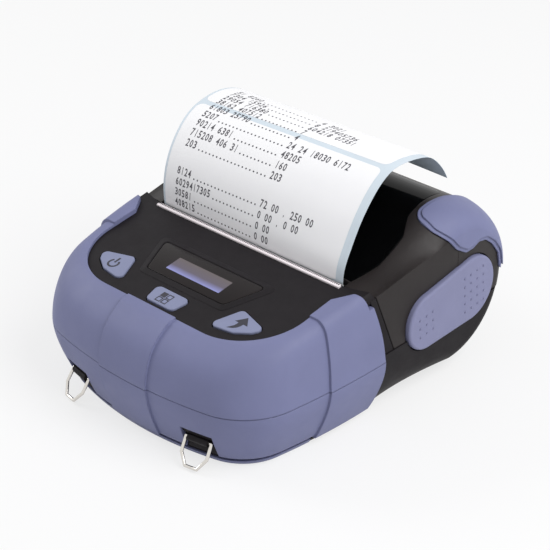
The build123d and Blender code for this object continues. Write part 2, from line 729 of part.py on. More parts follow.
def base_solids():
    """Bosses, ribs, tracks and brackets inside the base."""
    parts = block(-33.5, 33.5, DOOR_FRONT_Y - 1.2, DOOR_REAR_Y + DOOR_SLIDE + 1.5, 2.0, TRAY_TOP_Z)
    parts = parts & lower_form(BUMPER_T + 1.0)
    for x in (-38, 38):
        for y in (-12.5, 1.5):
            parts += rod_z(x, y, 2.2, 2.0, FRAME_LOW_Z)
    for side in (-1, 1):
        x0, x1 = sorted((side * TRACK_X0, side * TRACK_X1))
        track = block(x0, x1, TRACK_Y0, TRACK_Y1, 1.5, TRACK_Z)
        for y0, y1 in ((TRACK_Y0, TRACK_Y0 + 1.1), (TRACK_Y1 - 1.1, TRACK_Y1)):
            track += block(x0, x1, y0, y1, 2.0, TRACK_Z + 2.4)
        x0, x1 = sorted((side * TRACK_STOP_X, side * TRACK_X1))
        track += block(x0, x1, 31.5, 36.5, 2.0, 13.5)
        x0, x1 = sorted((side * (BRACKET_X - BRACKET_T), side * BRACKET_X))
        track += block(x0, x1, 12.5, 22.0, 2.0, 26.0)
        track += block(x0, x1, 44.5, 50.5, 2.0, 26.0)
        parts += track & base_form(SKIN + 0.8)
        parts += block(x0, x1, 12.5, 22.0, 24.0, 34.0) + block(x0, x1, 44.5, 50.5, 24.0, 36.0)
    for x, y in SCREWS:
        parts += rod_z(x, y, 4.0, 1.0, 7.0)
    parts += block(-32, -26, DOOR_FRONT_Y + 3, DOOR_REAR_Y, 3.0, 3.6)
    for x in (-36.5, 36.5):
        for y in (-44.0, -19.0):
            parts += rod_z(x, y, 2.0, 2.0, BOARD_Z)
    return parts


def guide_pins(side, radius, x_in, x_out):
    """The release slider's guide pins on one side."""
    x0, x1 = sorted((side * x_in, side * x_out))
    return joined([rod_x(y, z, radius, x0, x1) for y, z in GUIDES])


def hinge_space(radius, half):
    """Round space about the lid's hinge."""
    return rod_x(HINGE_Y, HINGE_Z, radius, -half, half)


def make_base_casing():
    front = lower_form(BUMPER_T + PART_GAP, 3.0) & block(-FAR, FAR, -FAR, 3.0, BASE_LIFT,
                                                          SEAM_Z - 0.05)
    lip = lower_form(SKIN) & block(-FAR, FAR, -FAR, 0, BASE_LIFT, LIP_TOP_Z)
    lip -= front_lip(PART_GAP)
    rear = (base_form(SKIN) & below(LID_SEAM_Z - PART_GAP)) & rear_cutter(PART_GAP)
    rear -= block(-FAR, FAR, -FAR, SIDE_STRAIGHT_Y, SEAM_Z - 0.05, FAR)
    outer = front + lip + rear
    inner = lower_form(BUMPER_T + PART_GAP + WALL, 3.0) & block(-FAR, FAR, -FAR, 3.0,
                                                                BASE_LIFT + WALL, FAR)
    behind = block(-FAR, FAR, MID_Y + 3.0, FAR, BASE_LIFT + WALL, FAR)
    behind += block(-FAR, FAR, MID_Y + 0.1, FAR, SEAM_Z - 0.05, FAR)
    tub_inner = base_form(SKIN + WALL) & behind
    casing = outer - inner - tub_inner
    casing += base_solids()
    for side in (-1, 1):
        casing -= guide_pins(side, 1.5 + RUN_GAP, BRACKET_X - 4, BRACKET_X + 2)
        x0, x1 = sorted((side * (BRACKET_X + BRACKET_T), side * FAR))
        casing -= side_slab(pad_sketch(PAD_GAP), x0, x1)
    casing -= hinge_space(EDGE_GAP_R, 45.0)
    rail = hinge_space(HINGE_R, RAIL_HALF) + both(rod_x(HINGE_Y, HINGE_Z, HINGE_R, *OUTER_KNUCKLE))
    web = block(-RAIL_HALF, RAIL_HALF, HINGE_Y - 1.4, HINGE_Y + 1.2, 18.0, HINGE_Z)
    web += both(block(*OUTER_KNUCKLE, HINGE_Y - 1.4, HINGE_Y + 1.2, 18.0, HINGE_Z))
    barrel_skin = barrel(barrel_profile(SKIN - 0.4, REAR_ROUND_X, BARREL_R - SKIN - REAR_ROUND_R,
                                        0.001), True)
    barrel_skin += barrel(barrel_profile(SKIN - 0.4, SHOULDER_X, RIDGE_R, RIDGE_IN), False)
    casing += (rail + web) & barrel_skin
    casing -= both(rod_x(HINGE_Y, HINGE_Z, HINGE_PIN_R + RUN_GAP, 14.0, 36.0))
    casing -= door_pocket()
    for x, y in SCREWS:
        casing -= rod_z(x, y, SCREW_HEAD_R + 0.3, 0, 2.6) + rod_z(x, y, 1.1, 0, 6.0)
    for x, y in FEET:
        casing -= rod_z(x, y, 2.0, 0, 1.8)
    return casing


def make_hinge_pins():
    pin = rod_x(HINGE_Y, HINGE_Z, HINGE_PIN_R, 14.5, 35.5)
    return both(pin)


def make_rubber_feet():
    return joined([rod_z(x, y, FOOT_R, 0, BASE_LIFT) + rod_z(x, y, 1.95, 0, 1.75)
                   for x, y in FEET])


def make_base_screws():
    screws = []
    for x, y in SCREWS:
        head = rod_z(x, y, SCREW_HEAD_R, 1.4, 2.6)
        slot = block(x - 1.6, x + 1.6, y - 0.3, y + 0.3, 1.3, 1.9)
        slot += block(x - 0.3, x + 0.3, y - 1.6, y + 1.6, 1.3, 1.9)
        screws.append(head - slot + rod_z(x, y, 1.0, 2.6, 5.9))
    return joined(screws)


def ring_path():
    """Corner points of a strap ring in its own plane, down from the hinge line."""
    return [(-RING_HALF, 0.0), (-RING_HALF, 5.2), (-2.2, RING_LENGTH), (2.2, RING_LENGTH),
            (RING_HALF, 5.2), (RING_HALF, 0.0)]


def make_ring(side):
    """A bent wire loop leaning forward from its hinge line."""
    lean = math.radians(RING_LEAN)
    points = [(u, -v * math.sin(lean), -v * math.cos(lean)) for u, v in ring_path()]
    wire = []
    for i, start in enumerate(points):
        end = points[(i + 1) % len(points)]
        a, b = Vector(*start), Vector(*end)
        plane = Plane(origin=a, z_dir=(b - a).normalized())
        wire.append(extrude(plane * Circle(RING_WIRE_R), amount=(b - a).length))
        wire.append(Pos(a) * Sphere(RING_WIRE_R))
    return ring_frame(side) * joined(wire)


def make_ring_brackets():
    """Black blocks in the bumper's sockets, each with a lug about its ring's top bar."""
    skin = lower_form(BUMPER_T - 0.9) - lower_form(BUMPER_T + PART_GAP)
    blocks = skin & sockets(-0.15)
    lug = Pos(0, 0.4, 0) * Box(2 * (RING_HALF - 1.0), 2.4, 2.4)
    lug += Rot(0, 90, 0) * Cylinder(1.3, 2 * (RING_HALF - 1.0))
    clear = Pos(0, -0.6, -4.5) * Box(2 * SOCKET_HALF + 2, 6.0, 12.0)
    blocks -= ring_frame(-1) * clear + ring_frame(1) * clear
    lugs = ring_frame(-1) * lug + ring_frame(1) * lug
    lugs -= lower_form(BUMPER_T + PART_GAP)
    back = Pos(0, 1.4, 0) * Box(2 * (RING_HALF - 1.0), 3.0, 5.6)
    backs = (ring_frame(-1) * back + ring_frame(1) * back) - lower_form(BUMPER_T + PART_GAP)
    backs &= lower_form(BUMPER_T - 1.1)
    shape = (blocks + lugs + backs) & above(LIP_TOP_Z + PART_GAP)
    for side in (-1, 1):
        bore = Rot(0, 90, 0) * Cylinder(RING_WIRE_R + RUN_GAP, 40)
        shape -= ring_frame(side) * bore
    return shape


def make_main_board():
    points = [(-40, -16.5), (-40, -46), (-30, -54), (30, -54), (40, -46), (40, -16.5)]
    face = make_face(Polyline(*points, close=True))
    x0, x1 = PORT_HINGE_X + 5.2, -38.5
    wing = Pos((x0 + x1) / 2, -20.5) * Rectangle(x1 - x0, 8.0)
    board = extrude(Pos(0, 0, BOARD_Z) * (face + wing), amount=BOARD_T)
    return board


def make_board_parts():
    z = BOARD_Z + BOARD_T
    parts = block(-8, 6, -44, -30, z, z + 1.4) + block(14, 24, -40, -32, z, z + 1.2)
    parts += block(-28, -20, -36, -28, z, z + 1.0) + block(10, 26, -26, -22, z, z + 2.6)
    parts += rod_z(32, -36, 3.0, z, z + 6.5) + rod_z(30, -44, 2.0, z, z + 5.0)
    parts += block(-22, -6, -22.5, -19.0, z, z + 3.0) + block(-14, -10, -52, -49, z, z + 3.0)
    return parts


def make_ports():
    """Data and charging sockets behind the flap."""
    z = BOARD_Z + BOARD_T
    y = -21.0
    mouth, end = PORT_HINGE_X + 4.5, PORT_HINGE_X + 11.9
    usb = block(mouth, end, y - 4.0, y + 3.4, z, z + 3.8)
    usb -= block(-FAR, end - 1.2, y - 3.2, y + 2.6, z + 0.8, z + 3.0)
    return usb


def make_mechanism_frame():
    plates = both(block(FRAME_X, FRAME_X + FRAME_T, FRAME_FRONT_Y, FRAME_REAR_Y, FRAME_LOW_Z,
                        FRAME_TOP_Z))
    low = block(-FRAME_X - 0.01, FRAME_X + 0.01, FRAME_FRONT_Y, FRAME_REAR_Y, FRAME_LOW_Z,
                FRAME_LOW_Z + FRAME_T)
    front = block(-FRAME_X - 0.01, FRAME_X + 0.01, FRAME_FRONT_Y, FRAME_FRONT_Y + FRAME_T, 30.0,
                  40.5)
    frame = plates + low + front
    away = Vector(0, PLATEN_Z - HINGE_Z, HINGE_Y - PLATEN_Y).normalized()
    near = Pos(PLATEN_Y, PLATEN_Z) * Circle(BUSH_R + 0.3)
    far = Pos(PLATEN_Y + 14 * away.Y + 1.0, PLATEN_Z + 14 * away.Z) * Circle(BUSH_R + 1.3)
    notch = make_hull(near.edges() + far.edges())
    frame -= side_slab(notch, -60, -30) + side_slab(notch, 30, 60)
    idler_y, idler_z = idler_centre()
    pinion_y, pinion_z = pinion_centre()
    frame -= rod_x(pinion_y, pinion_z, 2.5, -60, -40)
    for side in (-1, 1):
        frame -= rod_x(HEAD_PIN_Y, HEAD_PIVOT_Z, 1.0 + RUN_GAP, side * 40, side * 60)
    frame += rod_x(idler_y, idler_z, 1.5, GEAR_X - 0.3, -FRAME_X - FRAME_T + 0.01)
    return frame



def gear(teeth, thickness, phase, bore):
    """A spur gear in the YZ plane, one tooth at an angle from +Y towards +Z."""
    pitch_r = GEAR_MODULE * teeth / 2
    tip_r = pitch_r + 0.45
    root_r = pitch_r - 0.62
    step = 2 * math.pi / teeth
    points = []
    for i in range(teeth):
        centre = phase + i * step
        for radius, width in ((root_r, 0.62), (pitch_r, 0.34), (tip_r, 0.17)):
            points.append((radius, centre - width * step * 0.72 if radius == root_r
                           else centre - width * step * 0.62))
        for radius, width in ((tip_r, 0.17), (pitch_r, 0.34), (root_r, 0.62)):
            points.append((radius, centre + width * step * 0.72 if radius == root_r
                           else centre + width * step * 0.62))
    flat = [(r * math.cos(a), r * math.sin(a)) for r, a in points]
    face = make_face(Polyline(*flat, close=True)) - Circle(bore)
    return extrude(Plane.YZ * face, amount=thickness)


def mesh_distance(a, b):
    """Centre distance of two meshed gears, with a little play."""
    return GEAR_MODULE * (a + b) / 2 + 0.08


def opening_way():
    """Direction in YZ in which the platen leaves when the lid opens."""
    y, z = PLATEN_Z - HINGE_Z, HINGE_Y - PLATEN_Y
    length = math.hypot(y, z)
    return y / length, z / length


def idler_centre():
    y, z = opening_way()
    d = mesh_distance(PLATEN_TEETH, IDLER_TEETH)
    return PLATEN_Y - d * y, PLATEN_Z - d * z


def pinion_centre():
    y, z = idler_centre()
    d = mesh_distance(IDLER_TEETH, PINION_TEETH)
    return y + d * math.cos(PINION_ANGLE), z + d * math.sin(PINION_ANGLE)


def follow_phase(teeth, phase, angle, other_teeth):
    """Phase of a gear that meshes with another whose tooth phase is known."""
    step = 2 * math.pi / teeth
    ahead = ((phase - angle) / step) % 1.0
    other_step = 2 * math.pi / other_teeth
    return angle + math.pi + (0.5 - ahead) * other_step


def gear_phases():
    y, z = opening_way()
    down = math.atan2(-z, -y)
    idler = follow_phase(PLATEN_TEETH, down, down, IDLER_TEETH)
    pinion = follow_phase(IDLER_TEETH, idler, PINION_ANGLE, PINION_TEETH)
    return down, idler, pinion


def make_platen_gear():
    phase = gear_phases()[0]
    return Pos(GEAR_X, PLATEN_Y, PLATEN_Z) * gear(PLATEN_TEETH, GEAR_T, phase, SHAFT_R - 0.5)


def make_idler_gear():
    y, z = idler_centre()
    phase = gear_phases()[1]
    return Pos(GEAR_X, y, z) * gear(IDLER_TEETH, GEAR_T, phase, 1.5 + RUN_GAP)


def make_motor_pinion():
    y, z = pinion_centre()
    phase = gear_phases()[2]
    shaft = rod_x(y, z, 1.0, GEAR_X, -FRAME_X + 1.2)
    return Pos(GEAR_X, y, z) * gear(PINION_TEETH, GEAR_T, phase, 0.9) + shaft


def make_stepper_motor():
    y, z = pinion_centre()
    x = -FRAME_X
    body = rod_x(y, z, MOTOR_R, x, x + MOTOR_LENGTH)
    reach = MOTOR_R - 1.4
    ears = make_hull((Pos(y - reach, z - reach) * Circle(2.2)).edges() +
                     (Pos(y + reach, z + reach) * Circle(2.2)).edges())
    ears = side_slab(ears, x, x + 0.9)
    return body + ears - rod_x(y, z, 1.0 + RUN_GAP, x - 1, x + 3.0)


def make_platen_rubber():
    half = PAPER_WIDTH / 2
    return rod_x(PLATEN_Y, PLATEN_Z, PLATEN_R, -half, half) - rod_x(
        PLATEN_Y, PLATEN_Z, SHAFT_R + 0.5, -half, half)


def make_platen_shaft():
    half = PAPER_WIDTH / 2
    core = rod_x(PLATEN_Y, PLATEN_Z, SHAFT_R + 0.5, -half, half)
    end = rod_x(PLATEN_Y, PLATEN_Z, SHAFT_R - 0.5, GEAR_X - 0.2, GEAR_X + GEAR_T + 0.2)
    return core + rod_x(PLATEN_Y, PLATEN_Z, SHAFT_R, GEAR_X + GEAR_T, FRAME_X + 1.7) + end


def make_platen_bushes():
    bushes = both(rod_x(PLATEN_Y, PLATEN_Z, BUSH_R, ARM_X + ARM_T, FRAME_X + 1.6))
    return bushes - rod_x(PLATEN_Y, PLATEN_Z, SHAFT_R + RUN_GAP, -FAR, FAR)


def make_platen_carrier():
    disc = Pos(PLATEN_Y, PLATEN_Z) * Circle(3.6)
    ear = Pos(PLATEN_Y + 3.4, CARRIER_TOP_Z - 1.6) * Circle(1.6)
    rear = Pos(PLATEN_Y + 9.0, CARRIER_TOP_Z - 2.0) * Circle(2.0)
    face = make_hull(disc.edges() + ear.edges() + rear.edges())
    face -= Pos(PLATEN_Y, PLATEN_Z) * Circle(SHAFT_R + RUN_GAP)
    y0 = PLATEN_Y + PLATEN_R + 0.9
    bar = block(-ARM_X - 0.7, ARM_X + 0.7, y0, y0 + 5.0, CARRIER_TOP_Z - 1.5, CARRIER_TOP_Z - 0.1)
    return bar + side_slab(face, ARM_X, ARM_X + ARM_T) + side_slab(face, -ARM_X - ARM_T, -ARM_X)


def make_print_head():
    y = HEAD_FACE_Y
    return block(-HEAD_HALF, HEAD_HALF, y - HEAD_T, y, 34.5, HEAD_TOP_Z)


def make_head_heatsink():
    y1 = HEAD_FACE_Y - HEAD_T
    y0 = y1 - SINK_T
    sink = block(-HEAD_HALF, HEAD_HALF, y0, y1, 31.5, 42.2)
    for side in (-1, 1):
        x0, x1 = sorted((side * (HEAD_HALF - 4.0), side * HEAD_HALF))
        sink += block(x0, x1, y0, y1, HEAD_PIVOT_Z - 1.6, 32.0)
        sink += rod_x(HEAD_PIN_Y, HEAD_PIVOT_Z, 1.0, side * (HEAD_HALF - 0.1), side * (FRAME_X + 0.9))
    for i in range(9):
        x = -32 + 8 * i
        sink -= block(x - 1.5, x + 1.5, y0 - 1, y0 + 0.5, 33, 41)
    return sink


def coil(length, radius, turns, wire):
    """A compression spring along Z from the origin."""
    rise = length - wire
    path = Helix(pitch=rise / turns, height=rise, radius=radius)
    plane = Plane(origin=path @ 0, z_dir=path % 0)
    return Pos(0, 0, wire / 2) * sweep(plane * Circle(wire / 2), path=path)


def make_head_springs():
    y0 = FRAME_FRONT_Y + FRAME_T + 0.05
    y1 = HEAD_FACE_Y - HEAD_T - SINK_T - 0.05
    spring = coil(y1 - y0, 2.0, 3, SPRING_WIRE)
    return joined([Pos(x, y1, 37.0) * Rot(90, 0, 0) * spring for x in (-28, 0, 28)])


def make_pad(side):
    x0, x1 = sorted((side * PAD_INNER_X, side * (HALF_WIDTH - SKIN + PAD_PROUD)))
    pad = side_slab(pad_sketch(0.0), x0, x1)
    face = pad.faces().sort_by(Axis.X)[-1 if side > 0 else 0]
    return fillet(face.edges(), PAD_EDGE)


def make_pad_slider(side):
    x0, x1 = sorted((side * PAD_FLANGE_X, side * (PAD_FLANGE_X + 1.1)))
    flange = side_slab(pad_sketch(1.4), x0, x1) & below(43.6)
    x0, x1 = sorted((side * (PAD_FLANGE_X + 1.0), side * PAD_INNER_X))
    core = side_slab(pad_sketch(-1.2), x0, x1)
    return flange + core + guide_pins(side, 1.5, BRACKET_X - BRACKET_T - 1.4, PAD_FLANGE_X + 0.6)


def make_pad_spring(side):
    """Two springs about the guide pins of one release slider."""
    x0 = BRACKET_X + 0.05
    length = PAD_FLANGE_X - 0.05 - x0
    spring = coil(length, 2.3, 2, SPRING_WIRE)
    return joined([Pos(side * x0, y, z) * Rot(0, side * 90, 0) * spring for y, z in GUIDES])


def make_roll_holder(side):
    arm = make_hull((Pos(ROLL_Y, ROLL_Z) * Circle(8.0)).edges() +
                    (Pos(ROLL_Y - 4.5, TRACK_Z + 2.0) * Circle(1.6)).edges() +
                    (Pos(ROLL_Y + 4.5, TRACK_Z + 2.0) * Circle(1.6)).edges())
    x0, x1 = sorted((side * HOLDER_X, side * (HOLDER_X + HOLDER_T)))
    holder = side_slab(arm, x0, x1)
    hub_r = CORE_BORE_R - RUN_GAP
    holder += rod_x(ROLL_Y, ROLL_Z, hub_r, side * (HOLDER_X - HUB_LENGTH), side * (HOLDER_X + 0.1))
    x0, x1 = sorted((side * HOLDER_X, side * FOOT_X1))
    holder += block(x0, x1, TRACK_Y0 + 1.25, TRACK_Y1 - 1.25, TRACK_Z + 0.1, TRACK_Z + 1.6)
    return holder


def make_holder_spring(side):
    x0 = HOLDER_X + HOLDER_T + 0.05
    shape = coil(TRACK_STOP_X - 0.05 - x0, 2.0, 5, SPRING_WIRE)
    return Pos(side * x0, ROLL_Y, 11.2) * Rot(0, side * 90, 0) * shape


def make_paper_roll():
    half = PAPER_WIDTH / 2
    return rod_x(ROLL_Y, ROLL_Z, ROLL_R, -half, half) - rod_x(ROLL_Y, ROLL_Z, CORE_R, -half, half)


def make_roll_core():
    half = PAPER_WIDTH / 2
    return rod_x(ROLL_Y, ROLL_Z, CORE_R, -half, half) - rod_x(ROLL_Y, ROLL_Z, CORE_BORE_R, -half,
                                                              half)


def make_paper_web():
    """Paper between the roll and the slot."""
    dy, dz = ROLL_Y - WEB_Y, ROLL_Z - WEB_LOW_Z
    distance = math.hypot(dy, dz)
    reach = ROLL_R + 0.35
    bend = math.atan2(dz, dy) - math.asin(reach / distance)
    run = math.sqrt(distance ** 2 - reach ** 2) - 0.3
    end = (WEB_Y + run * math.cos(bend), WEB_LOW_Z + run * math.sin(bend))
    t = PAPER_T / 2
    ny, nz = math.sin(bend) * t, -math.cos(bend) * t
    left = [(end[0] + ny, end[1] + nz), (WEB_Y - t, WEB_LOW_Z - t * 0.4), (WEB_Y - t, WEB_TOP_Z)]
    right = [(WEB_Y + t, WEB_TOP_Z), (WEB_Y + t, WEB_LOW_Z + t * 0.4), (end[0] - ny, end[1] - nz)]
    half = PAPER_WIDTH / 2
    return side_slab(make_face(Polyline(*(left + right), close=True)), -half, half)


def make_paper_strip():
    """Printed paper that stands out of the slot and curls back over the lid."""
    half = PAPER_WIDTH / 2
    t = PAPER_T / 2
    points = STRIP_POINTS
    front, back = [], []
    for i, (y, z) in enumerate(points):
        a = points[max(i - 1, 0)]
        b = points[min(i + 1, len(points) - 1)]
        length = math.hypot(b[0] - a[0], b[1] - a[1])
        ny, nz = -(b[1] - a[1]) / length * t, (b[0] - a[0]) / length * t
        front.append((y + ny, z + nz))
        back.append((y - ny, z - nz))
    edges = [Spline(*front), Line(front[-1], back[-1]), Spline(*back[::-1]),
             Line(back[0], front[0])]
    return side_slab(make_face(Curve() + edges), -half, half)


def window_prism(amount):
    """Upright space over the lid's dark window."""
    right = [(HALF_WIDTH - inside, y) for inside, y in WINDOW_SIDE]
    points = right + [(-x, y) for x, y in right[::-1]]
    face = make_face(Polyline(*points, close=True))
    face = fillet(face.vertices().sort_by(Axis.Y)[2:], WINDOW_ROUND)
    return extrude(Pos(0, 0, 30) * offset(face, amount=amount, kind=Kind.INTERSECTION), amount=60)


def make_lid_window():
    skin = (lid_form(SKIN) - lid_form(SKIN + 0.9)) & above(40)
    return (skin & window_prism(-0.1)) & lid_region(0.0)


def corner_space(amount):
    """Space of the rubber pieces over the lid's rear corners."""
    side = make_face(Polyline(*CORNER_SIDE, close=True))
    side = offset(fillet(side.vertices(), CORNER_ROUND), amount=amount, kind=Kind.INTERSECTION)
    x0, y0 = CORNER_HALF - amount, CORNER_SIDE[0][0] - amount
    plan = make_face(Polyline((x0, y0), (FAR, y0), (FAR, FAR), (x0, FAR), close=True))
    plan = fillet(plan.vertices().group_by(Axis.X)[0].sort_by(Axis.Y)[0:1], CORNER_TIP_R + amount)
    right = side_slab(side, x0, FAR) & extrude(plan, amount=FAR)
    return both(right)


def make_corner_bumper(side):
    x0, x1 = sorted((0, side * FAR))
    side_space = block(x0, x1, -FAR, FAR, 0, FAR)
    rim = lid_form(SKIN - CORNER_RIM_T) & (corner_space(0.0) & side_space)
    pad = lid_form(SKIN - CORNER_T) & (corner_space(-CORNER_RIM) & side_space)
    return rim + pad - lid_form(SKIN + CORNER_SINK)


def make_lid_shell():
    outer = lid_form(SKIN)
    window = window_prism(0.0) & above(40)
    outer = (outer - window) + (lid_form(SKIN + 1.0) & window)
    corners = corner_space(0.1)
    outer = (outer - corners) + (lid_form(SKIN + CORNER_SINK + 0.05) & corners)
    shell = outer - lid_form(SKIN + WALL)
    shell &= above(LID_SEAM_Z)
    shell = shell & lid_region(0.0)
    for side in (-1, 1):
        x0, x1 = sorted((side * 46.0, side * FAR))
        shell -= side_slab(pad_notch(PAD_GAP), x0, x1)
    shell -= hinge_space(EDGE_GAP_R, 45.0)
    web = block(*LID_KNUCKLE, HINGE_Y - 1.6, HINGE_Y + 1.4, HINGE_Z, HINGE_Z + 8.0)
    knuckle = rod_x(HINGE_Y, HINGE_Z, HINGE_R, *LID_KNUCKLE)
    skin = barrel(barrel_profile(SKIN, SHOULDER_X, RIDGE_R, RIDGE_IN), False)
    shell += both((web & skin) + knuckle)
    shell -= both(rod_x(HINGE_Y, HINGE_Z, HINGE_PIN_R + RUN_GAP, 14.0, 36.0))
    for x in (-30.0, 30.0):
        shell += rod_z(x, 6.0, 2.4, CARRIER_TOP_Z, 48.2)
    return shell


NODES = [
    ("base_casing", make_base_casing), ("base_bumper", make_base_bumper),
    ("front_cover", make_front_cover), ("front_bumper", make_front_bumper),
    ("port_cover", make_port_cover), ("lid_shell", make_lid_shell),
    ("lid_window", make_lid_window), ("left_corner_bumper", make_corner_bumper, -1),
    ("right_corner_bumper", make_corner_bumper, 1), ("display_window", make_display_window),
    ("display_module", make_display_module), ("key_board", make_key_board),
    ("tact_switches", make_tact_switches), ("power_key", make_key, "power"),
    ("menu_key", make_key, "menu"), ("feed_key", make_key, "feed"),
    ("tear_bar", make_tear_bar), ("battery_door", make_battery_door),
    ("battery_pack", make_battery_pack), ("battery_contacts", make_battery_contacts),
    ("hinge_pins", make_hinge_pins), ("rubber_feet", make_rubber_feet),
    ("base_screws", make_base_screws), ("ring_brackets", make_ring_brackets),
    ("left_ring", make_ring, -1), ("right_ring", make_ring, 1),
    ("main_board", make_main_board), ("board_parts", make_board_parts), ("ports", make_ports),
    ("mechanism_frame", make_mechanism_frame), ("print_head", make_print_head),
    ("head_heatsink", make_head_heatsink), ("head_springs", make_head_springs),
    ("stepper_motor", make_stepper_motor), ("motor_pinion", make_motor_pinion),
    ("idler_gear", make_idler_gear), ("platen_gear", make_platen_gear),
    ("platen_rubber", make_platen_rubber), ("platen_shaft", make_platen_shaft),
    ("platen_bushes", make_platen_bushes), ("platen_carrier", make_platen_carrier),
    ("left_release_pad", make_pad, -1), ("right_release_pad", make_pad, 1),
    ("left_pad_slider", make_pad_slider, -1), ("right_pad_slider", make_pad_slider, 1),
    ("left_pad_spring", make_pad_spring, -1), ("right_pad_spring", make_pad_spring, 1),
    ("left_roll_holder", make_roll_holder, -1), ("right_roll_holder", make_roll_holder, 1),
    ("left_holder_spring", make_holder_spring, -1),
    ("right_holder_spring", make_holder_spring, 1), ("paper_roll", make_paper_roll),
    ("roll_core", make_roll_core), ("paper_web", make_paper_web),
    ("paper_strip", make_paper_strip)]


def main():
    """Write every sub-part to its own file."""
    os.makedirs(OUT, exist_ok=True)
    for node, maker, *choice in NODES:
        export_step(maker(*choice), os.path.join(OUT, node + ".step"))


main()
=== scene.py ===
import json
import math

import bmesh
import bpy
import numpy as np
from bpy.props import FloatProperty, FloatVectorProperty, PointerProperty
from mathutils import Matrix, Vector


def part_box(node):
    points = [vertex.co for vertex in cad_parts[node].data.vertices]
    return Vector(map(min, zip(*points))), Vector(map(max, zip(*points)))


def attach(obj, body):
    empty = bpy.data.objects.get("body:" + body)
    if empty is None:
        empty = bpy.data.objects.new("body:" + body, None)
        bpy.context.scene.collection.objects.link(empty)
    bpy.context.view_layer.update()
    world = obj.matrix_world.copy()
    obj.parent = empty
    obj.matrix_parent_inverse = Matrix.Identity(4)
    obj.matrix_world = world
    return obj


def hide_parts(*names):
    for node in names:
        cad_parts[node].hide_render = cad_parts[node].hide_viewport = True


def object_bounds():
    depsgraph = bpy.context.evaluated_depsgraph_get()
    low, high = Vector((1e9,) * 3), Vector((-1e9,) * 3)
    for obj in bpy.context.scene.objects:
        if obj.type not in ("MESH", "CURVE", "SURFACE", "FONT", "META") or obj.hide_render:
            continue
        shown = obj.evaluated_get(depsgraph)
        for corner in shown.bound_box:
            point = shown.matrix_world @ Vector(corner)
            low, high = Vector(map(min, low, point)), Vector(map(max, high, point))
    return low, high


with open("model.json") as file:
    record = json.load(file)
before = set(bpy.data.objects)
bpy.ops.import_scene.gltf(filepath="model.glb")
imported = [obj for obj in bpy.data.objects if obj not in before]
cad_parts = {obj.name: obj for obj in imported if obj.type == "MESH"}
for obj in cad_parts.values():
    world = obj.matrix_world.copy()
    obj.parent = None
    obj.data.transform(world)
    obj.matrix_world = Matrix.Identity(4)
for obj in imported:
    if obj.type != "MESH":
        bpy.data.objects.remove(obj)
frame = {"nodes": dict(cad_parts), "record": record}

bl_info = {
    "name": "Portable label printer",
    "version": (1, 0, 0),
    "blender": (4, 5, 0),
    "location": "View3D > Sidebar > Printer",
    "description": "Finishes, rubber, keys, display and printed paper of a portable label printer",
    "category": "Object",
}

CAD_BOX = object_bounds()
MM = 0.001

# The sloping top panel: its plane goes through this line, given as (y, z), and rises to the rear.
PANEL_TILT = math.radians(8.7)
PANEL_LINE = (-8.4 * MM, 47.5 * MM)

# The display's cover and pane in plan. The cover is wider at its rear.
COVER_FRONT, COVER_REAR = -37.0 * MM, -23.2 * MM
COVER_FRONT_HALF, COVER_REAR_HALF = 17.1 * MM, 22.6 * MM
PANE_FRONT, PANE_REAR, PANE_HALF = -33.6 * MM, -27.2 * MM, 11.8 * MM

# The tear bar: half its length and its front and rear edges in plan.
BAR_HALF = 40.75 * MM
BAR_FRONT, BAR_REAR = -10.15 * MM, -8.9 * MM

# Fields of nubs on a release pad: middle as (y, z), columns, rows and turn in degrees.
NUB_FIELDS = [((42.6, 30.2), 4, 5, 6.0), ((17.8, 27.5), 3, 3, 6.0)]
NUB_HEIGHT = 0.24 * MM

# The keys' upper faces over the panel, and each sign's thickness and place in plan.
KEY_RISE = 0.55 * MM
SIGN_RISE = 0.03 * MM
SIGN_PLACES = {"power": (-27.9, -41.6), "menu": (-0.4, -45.1), "feed": (27.6, -40.8)}

# How deep the pieces made here sit in the surface under them.
SINK = 0.02 * MM

# Heights of a label's face over the liner and of the print over the label.
LABEL_RISE = 0.05 * MM
PRINT_RISE = 0.012 * MM

# The stage: half the floor's side, its colour, its share of plain white, each lamp's size and
# place, and where the lamps and the camera point.
FLOOR_HALF = 3.0
FLOOR_TONE = (0.82, 0.82, 0.83, 1.0)
FLOOR_WHITE = 0.72
LAMPS = {"overhead": (0.7, (0.62, 0.12, 0.72)), "left": (0.5, (-0.8, -0.3, 0.55))}
LAMP_TARGET = (0.0, 0.0, 0.03)
CAMERA_TARGET = (0.0, 4.7 * MM, 30.0 * MM)

# The paper's left and right edges from the slot over the arch to the free end, as (y, z).
PAPER_LEFT = [(-7.25, 47.3), (-7.6, 53.0), (-7.0, 58.3), (-5.6, 63.2), (-3.8, 67.0), (-1.9, 70.1),
              (1.7, 74.6), (5.2, 77.2), (8.7, 78.9), (15.6, 80.5), (22.7, 80.3), (30.0, 77.9),
              (37.0, 73.2), (42.5, 67.0), (45.5, 62.0)]
PAPER_RIGHT = [(-7.25, 47.3), (-7.0, 51.4), (-5.6, 54.9), (-4.0, 57.8), (-2.3, 61.0), (0.6, 65.9),
               (3.7, 69.8), (6.3, 72.7), (9.5, 75.6), (13.0, 77.7), (16.3, 78.9), (22.8, 79.0),
               (31.6, 77.5), (35.3, 75.6), (38.3, 73.0), (41.5, 69.4), (43.7, 65.6)]


# Settings

def colour(name, description, default):
    """A colour setting."""
    return FloatVectorProperty(name=name, description=description, default=default,
                               subtype="COLOR", size=3, min=0.0, max=1.0)


def length(name, description, default):
    """A length setting, in metres."""
    return FloatProperty(name=name, description=description, default=default, unit="LENGTH",
                         subtype="DISTANCE", min=0.0, precision=5)


